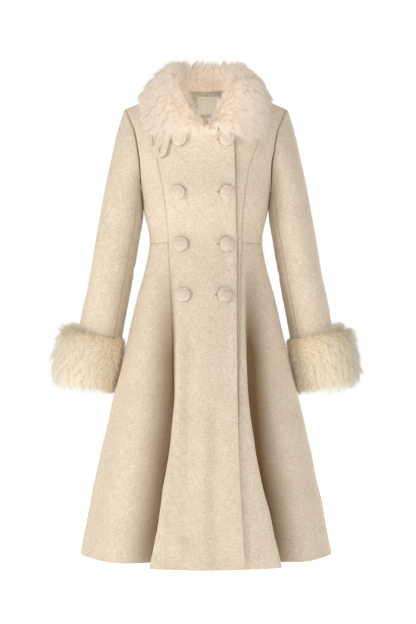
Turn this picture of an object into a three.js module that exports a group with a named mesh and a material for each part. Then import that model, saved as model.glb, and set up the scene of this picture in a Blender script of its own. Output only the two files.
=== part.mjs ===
// A long princess-line coat of beige wool with a fur collar and fur cuffs, in the hollow shape it has when worn.
// Lengths are in millimetres. Right and left are the wearer's: the right side is at -X, the front faces -Y, +Z is up.
// The origin is between the shoulders, level with the neck seam at the nape.
// Every cloth piece is a wall between a grid of outer points and the same grid moved inwards by the cloth's thickness.
import * as THREE from "three";

// Driving dimensions
const CLOTH = 2.4;
const SEAM_GAP = 0.3; // between two edges that a seam joins
const LAYER_GAP = 1.4; // between two layers of cloth that lie on each other
const SEAT = 0.3; // between the cloth and what is sewn on it
const SHOULDER_HALF = 189; // centre to shoulder tip
const SHOULDER_TIP_Z = -50;
const SHOULDER_SLOPE = 0.4; // fall of the shoulder line for each millimetre outwards
const RIDGE_Y = 4; // the shoulder seam lies this far behind the origin
const ROUND_FRONT = 150; // depth below the shoulder line at which the chest has its full depth
const ROUND_BACK = 120;
const ROUND_POWER = 1.7;
const NECK_HALF = 70;
const NECK_FRONT_Z = -95;
const NECK_BACK_Z = 0;
const OVERLAP_TOP_Z = -97;
const PRINCESS_TOP_X = 135; // where the princess seams reach the shoulder seam
const ARMPIT_Z = -250;
const WAIST_Z = -368; // seam between the side panels' bodice and skirt
const HEM_Z = -1091;
const FOLD_TOP_Z = -400; // the skirt's folds start here and deepen down to the hem
const CORNER_RADIUS = 18; // rounded bottom corner of the front edge

// Grid sizes
const SIDE_COLUMNS = 10;
const BACK_SIDE_COLUMNS = 8;
const CENTRE_COLUMNS = 12;
const BACK_CENTRE_COLUMNS = 8; // on each side of the centre back
const UPPER_ROWS = 8; // from the armpit to the shoulder
const CAP_ROWS = 6;
const ARM_ROWS = 8;
const ROW_Z = [-1091, -1040, -980, -915, -845, -775, -700, -625, -550, -480, -420, WAIST_Z, -309, ARMPIT_Z];
const WAIST_ROW = ROW_Z.indexOf(WAIST_Z);

const COLOUR = { wool: "#dccdb6", button: "#e2d2be", collar: "#ead9c8", cuff: "#e6d9c0", label: "#e9e2d0" };

const table = (names, rows) => rows.map((row) => Object.fromEntries(names.map((name, i) => [name, row[i]])));

// The body's section at each height: half width, depth of front and back, and how square it is.
const SECTIONS = table(["z", "halfWidth", "front", "back", "power"], [
  [-1091, 294, 186, 214, 2.1],
  [-1000, 278, 178, 197, 2.1],
  [-800, 234, 158, 163, 2.12],
  [-600, 186, 135, 127, 2.15],
  [-493, 161, 118, 106, 2.2],
  [-406, 138, 104, 90, 2.2],
  [-355, 132, 100, 83, 2.2],
  [-290, 146, 118, 90, 2.3],
  [-250, 150.5, 126, 96, 2.35],
  [-197, 161.5, 126, 101, 2.45],
  [-150, 177, 119, 103, 2.55],
  [-110, 192, 110, 100, 2.6],
  [-50, 206, 97, 92, 2.6],
  [30, 214, 90, 88, 2.6],
]);

// Lines on the fronts, as X at each height: princess seams, edges of the big front flute, and the two front edges.
const FRONT_LINES = table(["z", "seamRight", "seamLeft", "fluteRight", "fluteLeft", "edge", "underEdge"], [
  [-1091, -112, 56, -125, 164, 72, -50],
  [-990, -104, 58, -109, 146, 69, -50],
  [-840, -92, 62, -88, 115, 65, -51],
  [-700, -85, 67, -67, 93, 64.5, -52],
  [-550, -82.5, 74, -64, 86, 66, -52],
  [-445, -84.5, 78, -66, 84, 68, -52],
  [-376, -86, 82, -66, 84, 68.5, -52],
  [-316, -90, 84, -66, 84, 67, -52],
  [-255, -97, 90, -66, 84, 65.5, -52],
  [-200, -107, 99, -66, 84, 64.5, -52],
  [-147, -118, 117, -66, 84, 63.5, -52],
  [-97, -127, 127, -66, 84, 63, -52],
  [-28.4, -135, 135, -66, 84, 63, -52],
]);

// The two back princess seams, as distance from the centre back at each height.
const BACK_LINES = table(["z", "seam"], [
  [-1091, 122],
  [-700, 94],
  [-368, 66],
  [-250, 86],
  [-150, 110],
  [-28.4, 135],
]);

// Armhole on the front and on the back, as distance from the centre at each height.
const ARMHOLE = table(["z", "front", "back"], [
  [-250, 150.5, 150.5],
  [-231, 151, 153.5],
  [-197, 152.5, 160],
  [-153, 157.5, 168],
  [-108, 166, 175],
  [-80, 177, 181],
  [-50, 189, 189],
]);

// The front flute stands out between its two edges. Valleys are behind its edges, and round the sides and back.
const FLUTE_HEIGHT = 34;
const FLUTE_ROLL = 8; // half width of the turn at each of its edges
const FLUTE_TO_VALLEY = 17;
const FRONT_VALLEY = { depth: 25, inner: 13, outer: 42 };
const VALLEYS = table(["angle", "depth", "width"], [
  [68, 5, 40],
  [-66, 6, 40],
  [112, 12, 34],
  [143, 25, 30],
  [171, 19, 26],
  [-158, 24, 28],
  [-134, 22, 30],
  [-110, 13, 34],
]);

// The sleeve: X of its outer and inner side, Y of its middle and its half depth at each height.
const SLEEVE = table(["z", "outer", "inner", "middleY", "halfDepth"], [
  [-720, 331, 226, 26, 53],
  [-640, 315.5, 209.5, 19, 53],
  [-582, 304, 197.4, 14, 54],
  [-507, 287.4, 183.3, 8, 56],
  [-430, 270.7, 168.5, 4, 57],
  [-374, 261.8, 159.5, 3, 58],
  [-300, 248.8, 150.2, 2, 59],
  [-240, 237.2, 147.5, 2, 60],
]);
const BICEPS_Z = -270; // level where the sleeve head has become a plain tube
const BICEPS_TILT = 30;
const SLEEVE_END_Z = -700;
const SLEEVE_END_TILT = 10.6;
const ARMHOLE_GAP = 0.6;
const FRONT_SLEEVE_SEAM = 6; // column of the seam, counted from the shoulder tip round the front
const BACK_SLEEVE_SEAM = 11;

// A fur cuff: its section's points, as share of its length down the sleeve and share of the fur's reach.
const CUFF_TOP_Z = -573;
const CUFF_LENGTH = 134;
const CUFF_REACH = 28.5; // the fur's reach at the front and back of the sleeve
const CUFF_LEAN = 16.5; // more reach on the outer side, and less where the skirt presses it flat
const CUFF_SEAT = 0.8;
const CUFF_COLUMNS = 32;
const CUFF_SECTION = table(["down", "reach"], [
  [0.06, 0],
  [0.0, 0.3],
  [0.03, 0.62],
  [0.13, 0.86],
  [0.34, 0.97],
  [0.6, 1.0],
  [0.82, 0.93],
  [0.95, 0.72],
  [1.0, 0.4],
  [0.985, 0.12],
  [0.93, 0],
  [0.5, 0],
]);

// Half of the fur collar, from the centre front (0) over the shoulder seam (0.5) to the centre back (1).
// The crest is the middle of its rolled top; edgeX and edgeZ are where its outer edge lies on the coat.
const COLLAR = table(["turn", "crestX", "crestY", "crestZ", "edgeX", "edgeZ", "roll", "loft"], [
  [0.0, 11, -120, -97, 5, -119, 9, 16],
  [0.1, 26, -118, -84, 38, -128, 14, 24],
  [0.2, 41, -110, -60, 76, -135, 17, 28],
  [0.3, 56, -90, -27, 110, -131, 18, 30],
  [0.4, 69, -56, 11, 134, -98, 19, 31],
  [0.5, 77, -2, 41, 142, -34, 19, 31],
  [0.6, 76, 36, 51, 136, -74, 19, 30],
  [0.75, 57, 68, 57, 103, -103, 18, 28],
  [0.9, 22, 81, 60, 42, -115, 18, 28],
  [1.0, 0, 83, 60, 0, -116, 18, 28],
]);
const COLLAR_STATIONS = 26; // on each side
const COLLAR_CROWDING = 0.1; // of the stations towards the shoulder, where the collar turns over it
const COLLAR_TOP_POINTS = 14; // of each section, over the fur
const COLLAR_UNDER_SHARES = [0.8, 0.62, 0.44, 0.26]; // of each section, on the coat
const COLLAR_SEAT = 3.0;
const COLLAR_FRONT_GAP = 1.5; // from the centre front to each end
const COLLAR_RISES = [
  { x: -80, halfWidth: 44, height: 11.5 }, // over the throat tab and the button beside it
  { x: 45.5, halfWidth: 30, height: 11.5 },
];

// Covered buttons: the height and X of each pair.
const BUTTONS = table(["z", "rightX", "leftX"], [
  [-139, -59, 45.5],
  [-256, -61, 45.8],
  [-373, -54.5, 45.3],
  [-489, -48.5, 40],
]);
const BUTTON_RADIUS = 16;
const BUTTON_SIDES = 18;
const BUTTON_PROFILE = table(["radius", "height"], [
  [0, 0.3],
  [4, 0.3],
  [4, 2.6],
  [13.6, 2.6],
  [16, 5.0],
  [15.2, 7.6],
  [11.5, 9.6],
  [6, 10.7],
  [0, 11],
]);

// Throat tab under the right side of the collar, and the two bare labels inside the back of the neck.
const TAB = { topX: -86, topZ: -108, endX: -106, endZ: -178, halfWidth: 16, thickness: 4.4, endLift: 5 };
const LABEL = { x: 5, z: -31, width: 54, height: 40, thickness: 0.8 };
const SIZE_TAB = { x: 39.5, z: -27, width: 13, height: 18, thickness: 0.8 };

const { degToRad, radToDeg, lerp, clamp, smoothstep } = THREE.MathUtils;

// A smooth curve through one column of a table, as a function of its first column, which ascends.
function curve(rows, column) {
  const key = Object.keys(rows[0])[0];
  const xs = rows.map((row) => row[key]);
  const ys = rows.map((row) => row[column]);
  const last = xs.length - 1;
  const slopes = xs.map((_, i) => {
    const a = Math.max(i - 1, 0);
    const b = Math.min(i + 1, last);
    return (ys[b] - ys[a]) / (xs[b] - xs[a]);
  });
  return (value) => {
    const x = clamp(value, xs[0], xs[last]);
    const i = clamp(xs.findIndex((limit) => limit >= x) - 1, 0, last - 1);
    const step = xs[i + 1] - xs[i];
    const t = (x - xs[i]) / step;
    const rise = ys[i + 1] - ys[i];
    const bendA = slopes[i] * step - rise;
    const bendB = rise - slopes[i + 1] * step;
    return ys[i] + t * rise + t * (1 - t) * ((1 - t) * bendA + t * bendB);
  };
}

const curvesOf = (rows) => Object.fromEntries(Object.keys(rows[0]).map((name) => [name, curve(rows, name)]));
const body = curvesOf(SECTIONS);
const front = curvesOf(FRONT_LINES);
const backSeam = curve(BACK_LINES, "seam");
const armhole = curvesOf(ARMHOLE);
const sleeve = curvesOf(SLEEVE);
const collar = curvesOf(COLLAR);

const shoulderZ = (x) => SHOULDER_TIP_Z + (SHOULDER_HALF - Math.abs(x)) * SHOULDER_SLOPE;

// The section angle at a distance x from the centre: 0 is the centre front, 90 the left side and 180 the centre back.
function angleAt(x, z, onBack = false) {
  const share = clamp(Math.abs(x) / body.halfWidth(z), 0, 1) ** (body.power(z) / 2);
  const angle = radToDeg(Math.asin(share));
  return Math.sign(x || 1) * (onBack ? 180 - angle : angle);
}

// How far the skirt's folds move a point out of the plain section.
function foldHeight(angle, z) {
  const down = Math.max(0, (FOLD_TOP_Z - z) / (FOLD_TOP_Z - HEM_Z));
  if (down === 0) return 0;
  const degrees = radToDeg(1 / ((body.halfWidth(z) + body.front(z)) / 2)); // of one millimetre along the section
  const right = angleAt(front.fluteRight(z), z);
  const left = angleAt(front.fluteLeft(z), z);
  const roll = FLUTE_ROLL * degrees;
  const plateau = (Math.tanh((angle - right) / roll) - Math.tanh((angle - left) / roll)) / 2;
  let height = FLUTE_HEIGHT * down ** 1.2 * plateau;
  const valleyAt = (centre, depth, before, after) => {
    let away = angle - centre;
    away -= 360 * Math.round(away / 360);
    const width = (away < 0 ? before : after) * degrees;
    return depth * down * Math.exp(-((away / width) ** 2));
  };
  const shift = FLUTE_TO_VALLEY * degrees;
  height -= valleyAt(right - shift, FRONT_VALLEY.depth, FRONT_VALLEY.outer, FRONT_VALLEY.inner);
  height -= valleyAt(left + shift, FRONT_VALLEY.depth, FRONT_VALLEY.inner, FRONT_VALLEY.outer);
  for (const valley of VALLEYS) height -= valleyAt(valley.angle, valley.depth, valley.width, valley.width);
  return height;
}

// A point of the body below the armpits, from its section angle and height.
function lowerPoint(angle, z) {
  const power = 2 / body.power(z);
  const s = Math.sin(degToRad(angle));
  const c = Math.cos(degToRad(angle));
  const depth = c > 0 ? body.front(z) : body.back(z);
  const x = body.halfWidth(z) * Math.sign(s) * Math.abs(s) ** power;
  const y = -depth * Math.sign(c) * Math.abs(c) ** power;
  const grow = 1 + foldHeight(angle, z) / Math.hypot(x, y);
  return new THREE.Vector3(x * grow, y * grow, z);
}

// A point of the chest or upper back: the section's depth, rounded over towards the shoulder line.
function upperPoint(x, z, onBack) {
  const power = body.power(z);
  const across = clamp(Math.abs(x) / body.halfWidth(z), 0, 1);
  const full = (onBack ? body.back(z) : -body.front(z)) * (1 - across ** power) ** (1 / power);
  const below = clamp((shoulderZ(x) - z) / (onBack ? ROUND_BACK : ROUND_FRONT), 0, 1);
  const rounding = (1 - (1 - below) ** ROUND_POWER) ** (1 / ROUND_POWER);
  return new THREE.Vector3(x, RIDGE_Y + (full - RIDGE_Y) * rounding, z);
}

// Angles from a to b that share out the section's length, with more of them where it turns sharply.
function shareOut(a, b, z, count) {
  const FINE = 160;
  const TURN_WORTH = 28; // one radian of turning counts as this many millimetres
  const points = Array.from({ length: FINE + 1 }, (_, i) => lowerPoint(lerp(a, b, i / FINE), z));
  const sums = [0];
  let heading = null;
  for (let i = 1; i <= FINE; i++) {
    const step = points[i].clone().sub(points[i - 1]);
    const turned = heading && heading.length() > 0 ? heading.angleTo(step) : 0;
    sums.push(sums[i - 1] + step.length() + TURN_WORTH * turned);
    heading = step;
  }
  return Array.from({ length: count + 1 }, (_, j) => {
    const goal = (sums[FINE] * j) / count;
    const i = clamp(sums.findIndex((sum) => sum >= goal - 1e-9), 1, FINE);
    const part = (goal - sums[i - 1]) / (sums[i] - sums[i - 1] || 1);
    return lerp(a, b, (i - 1 + clamp(part, 0, 1)) / FINE);
  });
}

const riseAt = (v) => (1 - Math.cos(Math.PI * v)) / 2;

// A line up the body from the armpit level to the shoulder line, at the X that xAt gives for each height.
function lineToShoulder(xAt) {
  const startX = xAt(ARMPIT_Z);
  const fullDrop = shoulderZ(startX) - ARMPIT_Z;
  return (v) => {
    const drop = fullDrop * (1 - riseAt(v));
    let x = startX;
    for (let i = 0; i < 12; i++) x = xAt(shoulderZ(x) - drop);
    return [x, shoulderZ(x) - drop];
  };
}

// A patch of [x, z] points between a bottom row, a top row and the lines at its start and end.
function patchRow(bottom, top, start, end, v) {
  const w = riseAt(v);
  const count = bottom.length - 1;
  const blend = (j, k) => lerp(bottom[j][k], top[j][k], w);
  return bottom.map((_, j) => {
    const u = j / count;
    return [0, 1].map((k) => {
      const fromStart = (1 - u) * (start(v)[k] - blend(0, k));
      const fromEnd = u * (end(v)[k] - blend(count, k));
      return blend(j, k) + fromStart + fromEnd;
    });
  });
}

// The front neckline as [x, z], from the shoulder (0) to the centre front (1).
function neckFront(t) {
  const turn = degToRad(90 * (1 - t));
  return [NECK_HALF * Math.sin(turn), NECK_FRONT_Z + (shoulderZ(NECK_HALF) - NECK_FRONT_Z) * (1 - Math.cos(turn))];
}

// The back neckline as [x, z], from the shoulder (0) to the centre back (1).
function neckBack(t) {
  const x = NECK_HALF * Math.cos(degToRad(90 * t));
  return [x, lerp(NECK_BACK_Z, shoulderZ(NECK_HALF), (x / NECK_HALF) ** 2)];
}

const along = (count, at) => Array.from({ length: count + 1 }, (_, i) => at(i / count));

// One half of the front as rows of points: columns run from the side seam over the princess seam to the front edge.
// side is -1 for the right half and 1 for the left. X is counted positive on the half's own side.
function frontHalf(side) {
  const seamX = (z) => side * (side < 0 ? front.seamRight(z) : front.seamLeft(z));
  const edgeX = (z) => side * (side < 0 ? front.edge(z) : front.underEdge(z));
  const rows = ROW_Z.map((z) => {
    const seam = side * angleAt(seamX(z), z);
    const edge = side * angleAt(edgeX(z), z);
    const sidePart = shareOut(side * 90, seam, z, SIDE_COLUMNS);
    const centrePart = shareOut(seam, edge, z, CENTRE_COLUMNS);
    return [...sidePart, ...centrePart.slice(1)].map((angle) => lowerPoint(angle, z));
  });
  const base = rows[rows.length - 1].map((p) => [side * p.x, p.z]);
  const princess = lineToShoulder((z) => clamp(seamX(z), 0, PRINCESS_TOP_X));
  const armLine = lineToShoulder(armhole.front);
  const edgeLine = (v) => {
    const z = lerp(ARMPIT_Z, OVERLAP_TOP_Z, riseAt(v));
    return [edgeX(z), z];
  };
  const shoulder = (from, to) => (t) => [lerp(from, to, t), shoulderZ(lerp(from, to, t))];
  const sideTop = along(SIDE_COLUMNS, shoulder(SHOULDER_HALF, PRINCESS_TOP_X));
  const overlap = (t) => [lerp(0, edgeX(OVERLAP_TOP_Z), t), lerp(NECK_FRONT_Z, OVERLAP_TOP_Z, t)];
  const centreTop = [
    ...along(3, shoulder(PRINCESS_TOP_X, NECK_HALF)),
    ...along(6, neckFront).slice(1),
    ...along(3, overlap).slice(1),
  ];
  for (let i = 1; i <= UPPER_ROWS; i++) {
    const v = i / UPPER_ROWS;
    const sidePart = patchRow(base.slice(0, SIDE_COLUMNS + 1), sideTop, armLine, princess, v);
    const centrePart = patchRow(base.slice(SIDE_COLUMNS), centreTop, princess, edgeLine, v);
    rows.push([...sidePart, ...centrePart.slice(1)].map(([x, z]) => upperPoint(side * x, z, false)));
  }
  return rows;
}

// One half of the back, with columns from the side seam over the princess seam to the centre back.
function backHalf(side) {
  const rows = ROW_Z.map((z) => {
    const seam = angleAt(side * backSeam(z), z, true);
    const sidePart = shareOut(side * 90, seam, z, BACK_SIDE_COLUMNS);
    const centrePart = shareOut(seam, side * 180, z, BACK_CENTRE_COLUMNS);
    return [...sidePart, ...centrePart.slice(1)].map((angle) => lowerPoint(angle, z));
  });
  const base = rows[rows.length - 1].map((p) => [Math.max(0, side * p.x), p.z]);
  const princess = lineToShoulder(backSeam);
  const armLine = lineToShoulder(armhole.back);
  const centreLine = (v) => [0, lerp(ARMPIT_Z, NECK_BACK_Z, riseAt(v))];
  const shoulder = (from, to) => (t) => [lerp(from, to, t), shoulderZ(lerp(from, to, t))];
  const sideTop = along(BACK_SIDE_COLUMNS, shoulder(SHOULDER_HALF, PRINCESS_TOP_X));
  const centreTop = [...along(3, shoulder(PRINCESS_TOP_X, NECK_HALF)), ...along(5, neckBack).slice(1)];
  for (let i = 1; i <= UPPER_ROWS; i++) {
    const v = i / UPPER_ROWS;
    const sidePart = patchRow(base.slice(0, BACK_SIDE_COLUMNS + 1), sideTop, armLine, princess, v);
    const centrePart = patchRow(base.slice(BACK_SIDE_COLUMNS), centreTop, princess, centreLine, v);
    rows.push([...sidePart, ...centrePart.slice(1)].map(([x, z]) => upperPoint(side * x, z, true)));
  }
  return rows;
}

// Outward normals of a grid of points. turn is 1 or -1, for columns that run clockwise or not as seen from outside.
function normalsOf(rows, turn, closed = false) {
  const count = rows[0].length;
  return rows.map((row, i) =>
    row.map((_, j) => {
      const across = closed
        ? row[(j + 1) % count].clone().sub(row[(j + count - 1) % count])
        : row[Math.min(j + 1, count - 1)].clone().sub(row[Math.max(j - 1, 0)]);
      const up = rows[Math.min(i + 1, rows.length - 1)][j].clone().sub(rows[Math.max(i - 1, 0)][j]);
      return across.cross(up).normalize().multiplyScalar(turn);
    }),
  );
}

// A grid of points with its normals, which stay level with each other across the side and shoulder seams.
function clothGrid(rows, turn, seamColumns, ridgeColumns) {
  const normals = normalsOf(rows, turn);
  for (let i = 0; i < ROW_Z.length; i++) {
    for (const j of seamColumns) normals[i][j].setY(0).normalize();
  }
  const top = normals[normals.length - 1];
  for (const j of ridgeColumns) top[j].setY(0).normalize();
  return { rows, normals, turn };
}

// The closed geometry of outer and inner points on one grid. closed joins the last column to the first.
function wallGeometry(outer, inner, turn, closed = false) {
  const height = outer.length;
  const width = outer[0].length;
  const positions = [...outer.flat(), ...inner.flat()].flatMap((p) => [p.x, p.y, p.z]);
  const at = (i, j, layer) => layer * height * width + i * width + (j % width);
  const faces = [];
  const quad = (a, b, c, d) => faces.push(...(turn > 0 ? [a, b, c, a, c, d] : [a, c, b, a, d, c]));
  const spans = closed ? width : width - 1;
  for (let i = 0; i < height - 1; i++) {
    for (let j = 0; j < spans; j++) {
      quad(at(i, j, 0), at(i, j + 1, 0), at(i + 1, j + 1, 0), at(i + 1, j, 0));
      quad(at(i, j, 1), at(i + 1, j, 1), at(i + 1, j + 1, 1), at(i, j + 1, 1));
    }
  }
  for (let j = 0; j < spans; j++) {
    quad(at(0, j + 1, 1), at(0, j + 1, 0), at(0, j, 0), at(0, j, 1));
    quad(at(height - 1, j, 0), at(height - 1, j + 1, 0), at(height - 1, j + 1, 1), at(height - 1, j, 1));
  }
  for (let i = 0; !closed && i < height - 1; i++) {
    quad(at(i, 0, 0), at(i + 1, 0, 0), at(i + 1, 0, 1), at(i, 0, 1));
    quad(at(i + 1, width - 1, 1), at(i + 1, width - 1, 0), at(i, width - 1, 0), at(i, width - 1, 1));
  }
  const geometry = new THREE.BufferGeometry();
  geometry.setAttribute("position", new THREE.BufferAttribute(new Float32Array(positions), 3));
  geometry.setIndex(faces);
  return geometry;
}

// Draws the four edges of a grid in by half a seam's gap.
function trimEdges(rows, closed = false) {
  const trimmed = rows.map((row) => row.map((p) => p.clone()));
  const pull = (p, towards) => p.add(towards.clone().sub(p).setLength(SEAM_GAP / 2));
  const last = rows.length - 1;
  trimmed[0].forEach((p, j) => pull(p, rows[1][j]));
  trimmed[last].forEach((p, j) => pull(p, rows[last - 1][j]));
  if (closed) return trimmed;
  trimmed.forEach((row) => {
    pull(row[0], row[1].clone());
    pull(row[row.length - 1], row[row.length - 2].clone());
  });
  return trimmed;
}

const coat = new THREE.Group();
const cloth = []; // the cloth panels, which smaller pieces are laid on

function addPart(name, geometry, colour, roughness = 0.95) {
  const material = new THREE.MeshStandardMaterial({ color: colour, roughness, metalness: 0 });
  const mesh = new THREE.Mesh(geometry, material);
  mesh.name = name;
  coat.add(mesh);
  return mesh;
}

// A cloth panel cut from a grid: rows and columns from the first to the last one named, moved out by lift.
function addPanel(name, grid, [firstRow, lastRow], [firstColumn, lastColumn], lift = () => 0) {
  const outer = [];
  const inner = [];
  for (let i = firstRow; i <= lastRow; i++) {
    const points = grid.rows[i].slice(firstColumn, lastColumn + 1);
    const normals = grid.normals[i].slice(firstColumn, lastColumn + 1);
    const lifts = points.map((p) => lift(p, points[0]));
    outer.push(points.map((p, j) => p.clone().addScaledVector(normals[j], lifts[j])));
    inner.push(points.map((p, j) => p.clone().addScaledVector(normals[j], lifts[j] - CLOTH)));
  }
  cloth.push(addPart(name, wallGeometry(trimEdges(outer), trimEdges(inner), grid.turn), COLOUR.wool));
}

// Where a line through p along the normal n meets the cloth's faces, seen from outside or from inside.
function onCloth(p, n, fromInside = false) {
  const REACH = 40;
  const direction = n.clone().multiplyScalar(fromInside ? 1 : -1);
  const [hit] = new THREE.Raycaster(p.clone().addScaledVector(direction, -REACH), direction).intersectObjects(cloth);
  return hit ? hit.point : p.clone();
}

// Body panels
const lastRow = ROW_Z.length - 1 + UPPER_ROWS;
const centreEnd = SIDE_COLUMNS + CENTRE_COLUMNS;
const ridge = along(SIDE_COLUMNS + 3, (t) => Math.round(t * (SIDE_COLUMNS + 3)));
const rightFront = clothGrid(frontHalf(-1), 1, [0], ridge);
const leftFront = clothGrid(frontHalf(1), -1, [0], ridge);

const rightBackRows = backHalf(-1);
const leftBackRows = backHalf(1);
const backRows = rightBackRows.map((row, i) => [...row, ...leftBackRows[i].slice(0, -1).reverse()]);
const backWidth = backRows[0].length;
const backRidge = along(BACK_SIDE_COLUMNS + 3, (t) => Math.round(t * (BACK_SIDE_COLUMNS + 3)));
const back = clothGrid(backRows, -1, [0, backWidth - 1], [...backRidge, ...backRidge.map((j) => backWidth - 1 - j)]);

// The rounded bottom corner of the front edge.
for (const p of rightFront.rows[0].slice(SIDE_COLUMNS)) {
  const into = clamp((p.x - (front.edge(HEM_Z) - CORNER_RADIUS)) / CORNER_RADIUS, 0, 1);
  p.z += CORNER_RADIUS * (1 - Math.sqrt(1 - into ** 2));
}

// The right front lies on the left one, so it rises from its princess and shoulder seams to the height of two layers.
function overlapLift(p, seam) {
  const fromShoulder = smoothstep(shoulderZ(p.x) - p.z, 10, 80);
  return (CLOTH + LAYER_GAP) * fromShoulder * smoothstep(p.x, seam.x, front.underEdge(p.z) - 4);
}

addPanel("right_front_centre", rightFront, [0, lastRow], [SIDE_COLUMNS, centreEnd], overlapLift);
addPanel("left_front_centre", leftFront, [0, lastRow], [SIDE_COLUMNS, centreEnd]);
for (const [side, grid] of [["right", rightFront], ["left", leftFront]]) {
  addPanel(`${side}_front_side_skirt`, grid, [0, WAIST_ROW], [0, SIDE_COLUMNS]);
  addPanel(`${side}_front_side_bodice`, grid, [WAIST_ROW, lastRow], [0, SIDE_COLUMNS]);
}
const backEnd = backWidth - 1;
addPanel("back_centre", back, [0, lastRow], [BACK_SIDE_COLUMNS, backEnd - BACK_SIDE_COLUMNS]);
for (const [side, columns] of [["right", [0, BACK_SIDE_COLUMNS]], ["left", [backEnd - BACK_SIDE_COLUMNS, backEnd]]]) {
  addPanel(`${side}_back_side_skirt`, back, [0, WAIST_ROW], columns);
  addPanel(`${side}_back_side_bodice`, back, [WAIST_ROW, lastRow], columns);
}

// A point of the sleeve's tube for the left arm: 0 degrees is its outer side and 90 its front.
function sleevePoint(degrees, z) {
  const outer = sleeve.outer(z);
  const inner = sleeve.inner(z);
  const turn = degToRad(degrees);
  const x = (outer + inner) / 2 + ((outer - inner) / 2) * Math.cos(turn);
  return new THREE.Vector3(x, sleeve.middleY(z) - sleeve.halfDepth(z) * Math.sin(turn), z);
}

// The left sleeve as rows of points, from the armhole down to the mouth. The first row follows the armhole's edge.
function sleeveRows(frontRows, backColumn) {
  const upper = ROW_Z.length - 1;
  const loop = [];
  for (let i = UPPER_ROWS; i >= 0; i--) loop.push(frontRows[upper + i][0]);
  for (let i = 1; i < UPPER_ROWS; i++) loop.push(backColumn[upper + i]);
  const columns = loop.map((start, k) => {
    const degrees = (360 * k) / loop.length;
    const c = Math.cos(degToRad(degrees));
    const s = Math.sin(degToRad(degrees));
    const outward = new THREE.Vector3(1 + 5.5 * (1 + c) + 14 * s * s, -8 * s, -20 + 8 * s * s + 2.5 * (1 - c));
    const from = start.clone().addScaledVector(outward.clone().normalize(), ARMHOLE_GAP);
    from.add(new THREE.Vector3(ARMHOLE_GAP + 0.5 * (1 + c), 0, 0.9 * Math.max(0, c)));
    const capZ = BICEPS_Z + BICEPS_TILT * c;
    const to = sleevePoint(degrees, capZ);
    const upArm = sleevePoint(degrees, capZ).sub(sleevePoint(degrees, capZ - 40));
    upArm.setLength(lerp(14, 70, (1 + c) / 2));
    const cap = new THREE.CubicBezierCurve3(from, from.clone().add(outward), to.clone().add(upArm), to);
    const endZ = SLEEVE_END_Z + SLEEVE_END_TILT * c;
    const arm = along(ARM_ROWS, (t) => sleevePoint(degrees, lerp(capZ, endZ, t)));
    return [...along(CAP_ROWS, (t) => cap.getPoint(t)), ...arm.slice(1)];
  });
  return columns[0].map((_, i) => columns.map((column) => column[i])).reverse();
}

const mirrored = (rows) => rows.map((row) => row.map((p) => new THREE.Vector3(-p.x, p.y, p.z)));
const leftSleeve = sleeveRows(leftFront.rows, back.rows.map((row) => row[backEnd]));

function addSleeve(side, rows, turn) {
  const normals = normalsOf(rows, turn, true);
  const closedOn = (row) => [...row, row[0]];
  const grid = { rows: rows.map(closedOn), normals: normals.map(closedOn), turn };
  const shift = BACK_SLEEVE_SEAM;
  const turned = (row) => along(rows[0].length, (t) => row[(Math.round(t * rows[0].length) + shift) % rows[0].length]);
  const fromBackSeam = { rows: rows.map(turned), normals: normals.map(turned), turn };
  const upperWidth = rows[0].length - BACK_SLEEVE_SEAM + FRONT_SLEEVE_SEAM;
  addPanel(`${side}_upper_sleeve`, fromBackSeam, [0, rows.length - 1], [0, upperWidth]);
  addPanel(`${side}_under_sleeve`, grid, [0, rows.length - 1], [FRONT_SLEEVE_SEAM, BACK_SLEEVE_SEAM]);
}
addSleeve("left", leftSleeve, -1);
addSleeve("right", mirrored(leftSleeve), 1);

// A fur cuff: its section's points at each angle round the left sleeve, as far out as the fur reaches there.
function cuffRows() {
  return CUFF_SECTION.map(({ down, reach }) =>
    Array.from({ length: CUFF_COLUMNS }, (_, k) => {
      const degrees = (360 * k) / CUFF_COLUMNS;
      const c = Math.cos(degToRad(degrees));
      const s = Math.sin(degToRad(degrees));
      const z = CUFF_TOP_Z - CUFF_LENGTH * down + SLEEVE_END_TILT * c * (1 + reach * 0.6);
      const fur = CUFF_SEAT + reach * (CUFF_REACH + CUFF_LEAN * c);
      return sleevePoint(degrees, z).add(new THREE.Vector3(fur * c, -fur * s, 0));
    }),
  );
}

// A ring from a closed section at each column: rows are the section's points and close on themselves.
function ringGeometry(rows, turn) {
  const count = rows.length;
  const width = rows[0].length;
  const faces = [];
  for (let i = 0; i < count; i++) {
    for (let j = 0; j < width; j++) {
      const a = i * width + j;
      const b = i * width + ((j + 1) % width);
      const c = ((i + 1) % count) * width + ((j + 1) % width);
      const d = ((i + 1) % count) * width + j;
      faces.push(...(turn > 0 ? [a, b, c, a, c, d] : [a, c, b, a, d, c]));
    }
  }
  const geometry = new THREE.BufferGeometry();
  const positions = rows.flat().flatMap((p) => [p.x, p.y, p.z]);
  geometry.setAttribute("position", new THREE.BufferAttribute(new Float32Array(positions), 3));
  geometry.setIndex(faces);
  return geometry;
}
const leftCuff = cuffRows();
addPart("left_fur_cuff", ringGeometry(leftCuff, 1), COLOUR.cuff, 1);
addPart("right_fur_cuff", ringGeometry(mirrored(leftCuff), -1), COLOUR.cuff, 1);

// The coat's surface and outward normal at [x, z] on its chest or upper back.
function surfaceAt(x, z, onBack) {
  const STEP = 0.5;
  const top = shoulderZ(x) - 0.01;
  const p = upperPoint(x, Math.min(z, top), onBack);
  if (z > top - STEP) return { p, n: new THREE.Vector3(Math.sign(x) * SHOULDER_SLOPE, 0, 1).normalize() };
  const across = upperPoint(x + STEP, z, onBack).sub(upperPoint(x - STEP, z, onBack));
  const up = upperPoint(x, z + STEP, onBack).sub(upperPoint(x, z - STEP, onBack));
  return { p, n: across.cross(up).normalize().multiplyScalar(onBack ? -1 : 1) };
}

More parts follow.
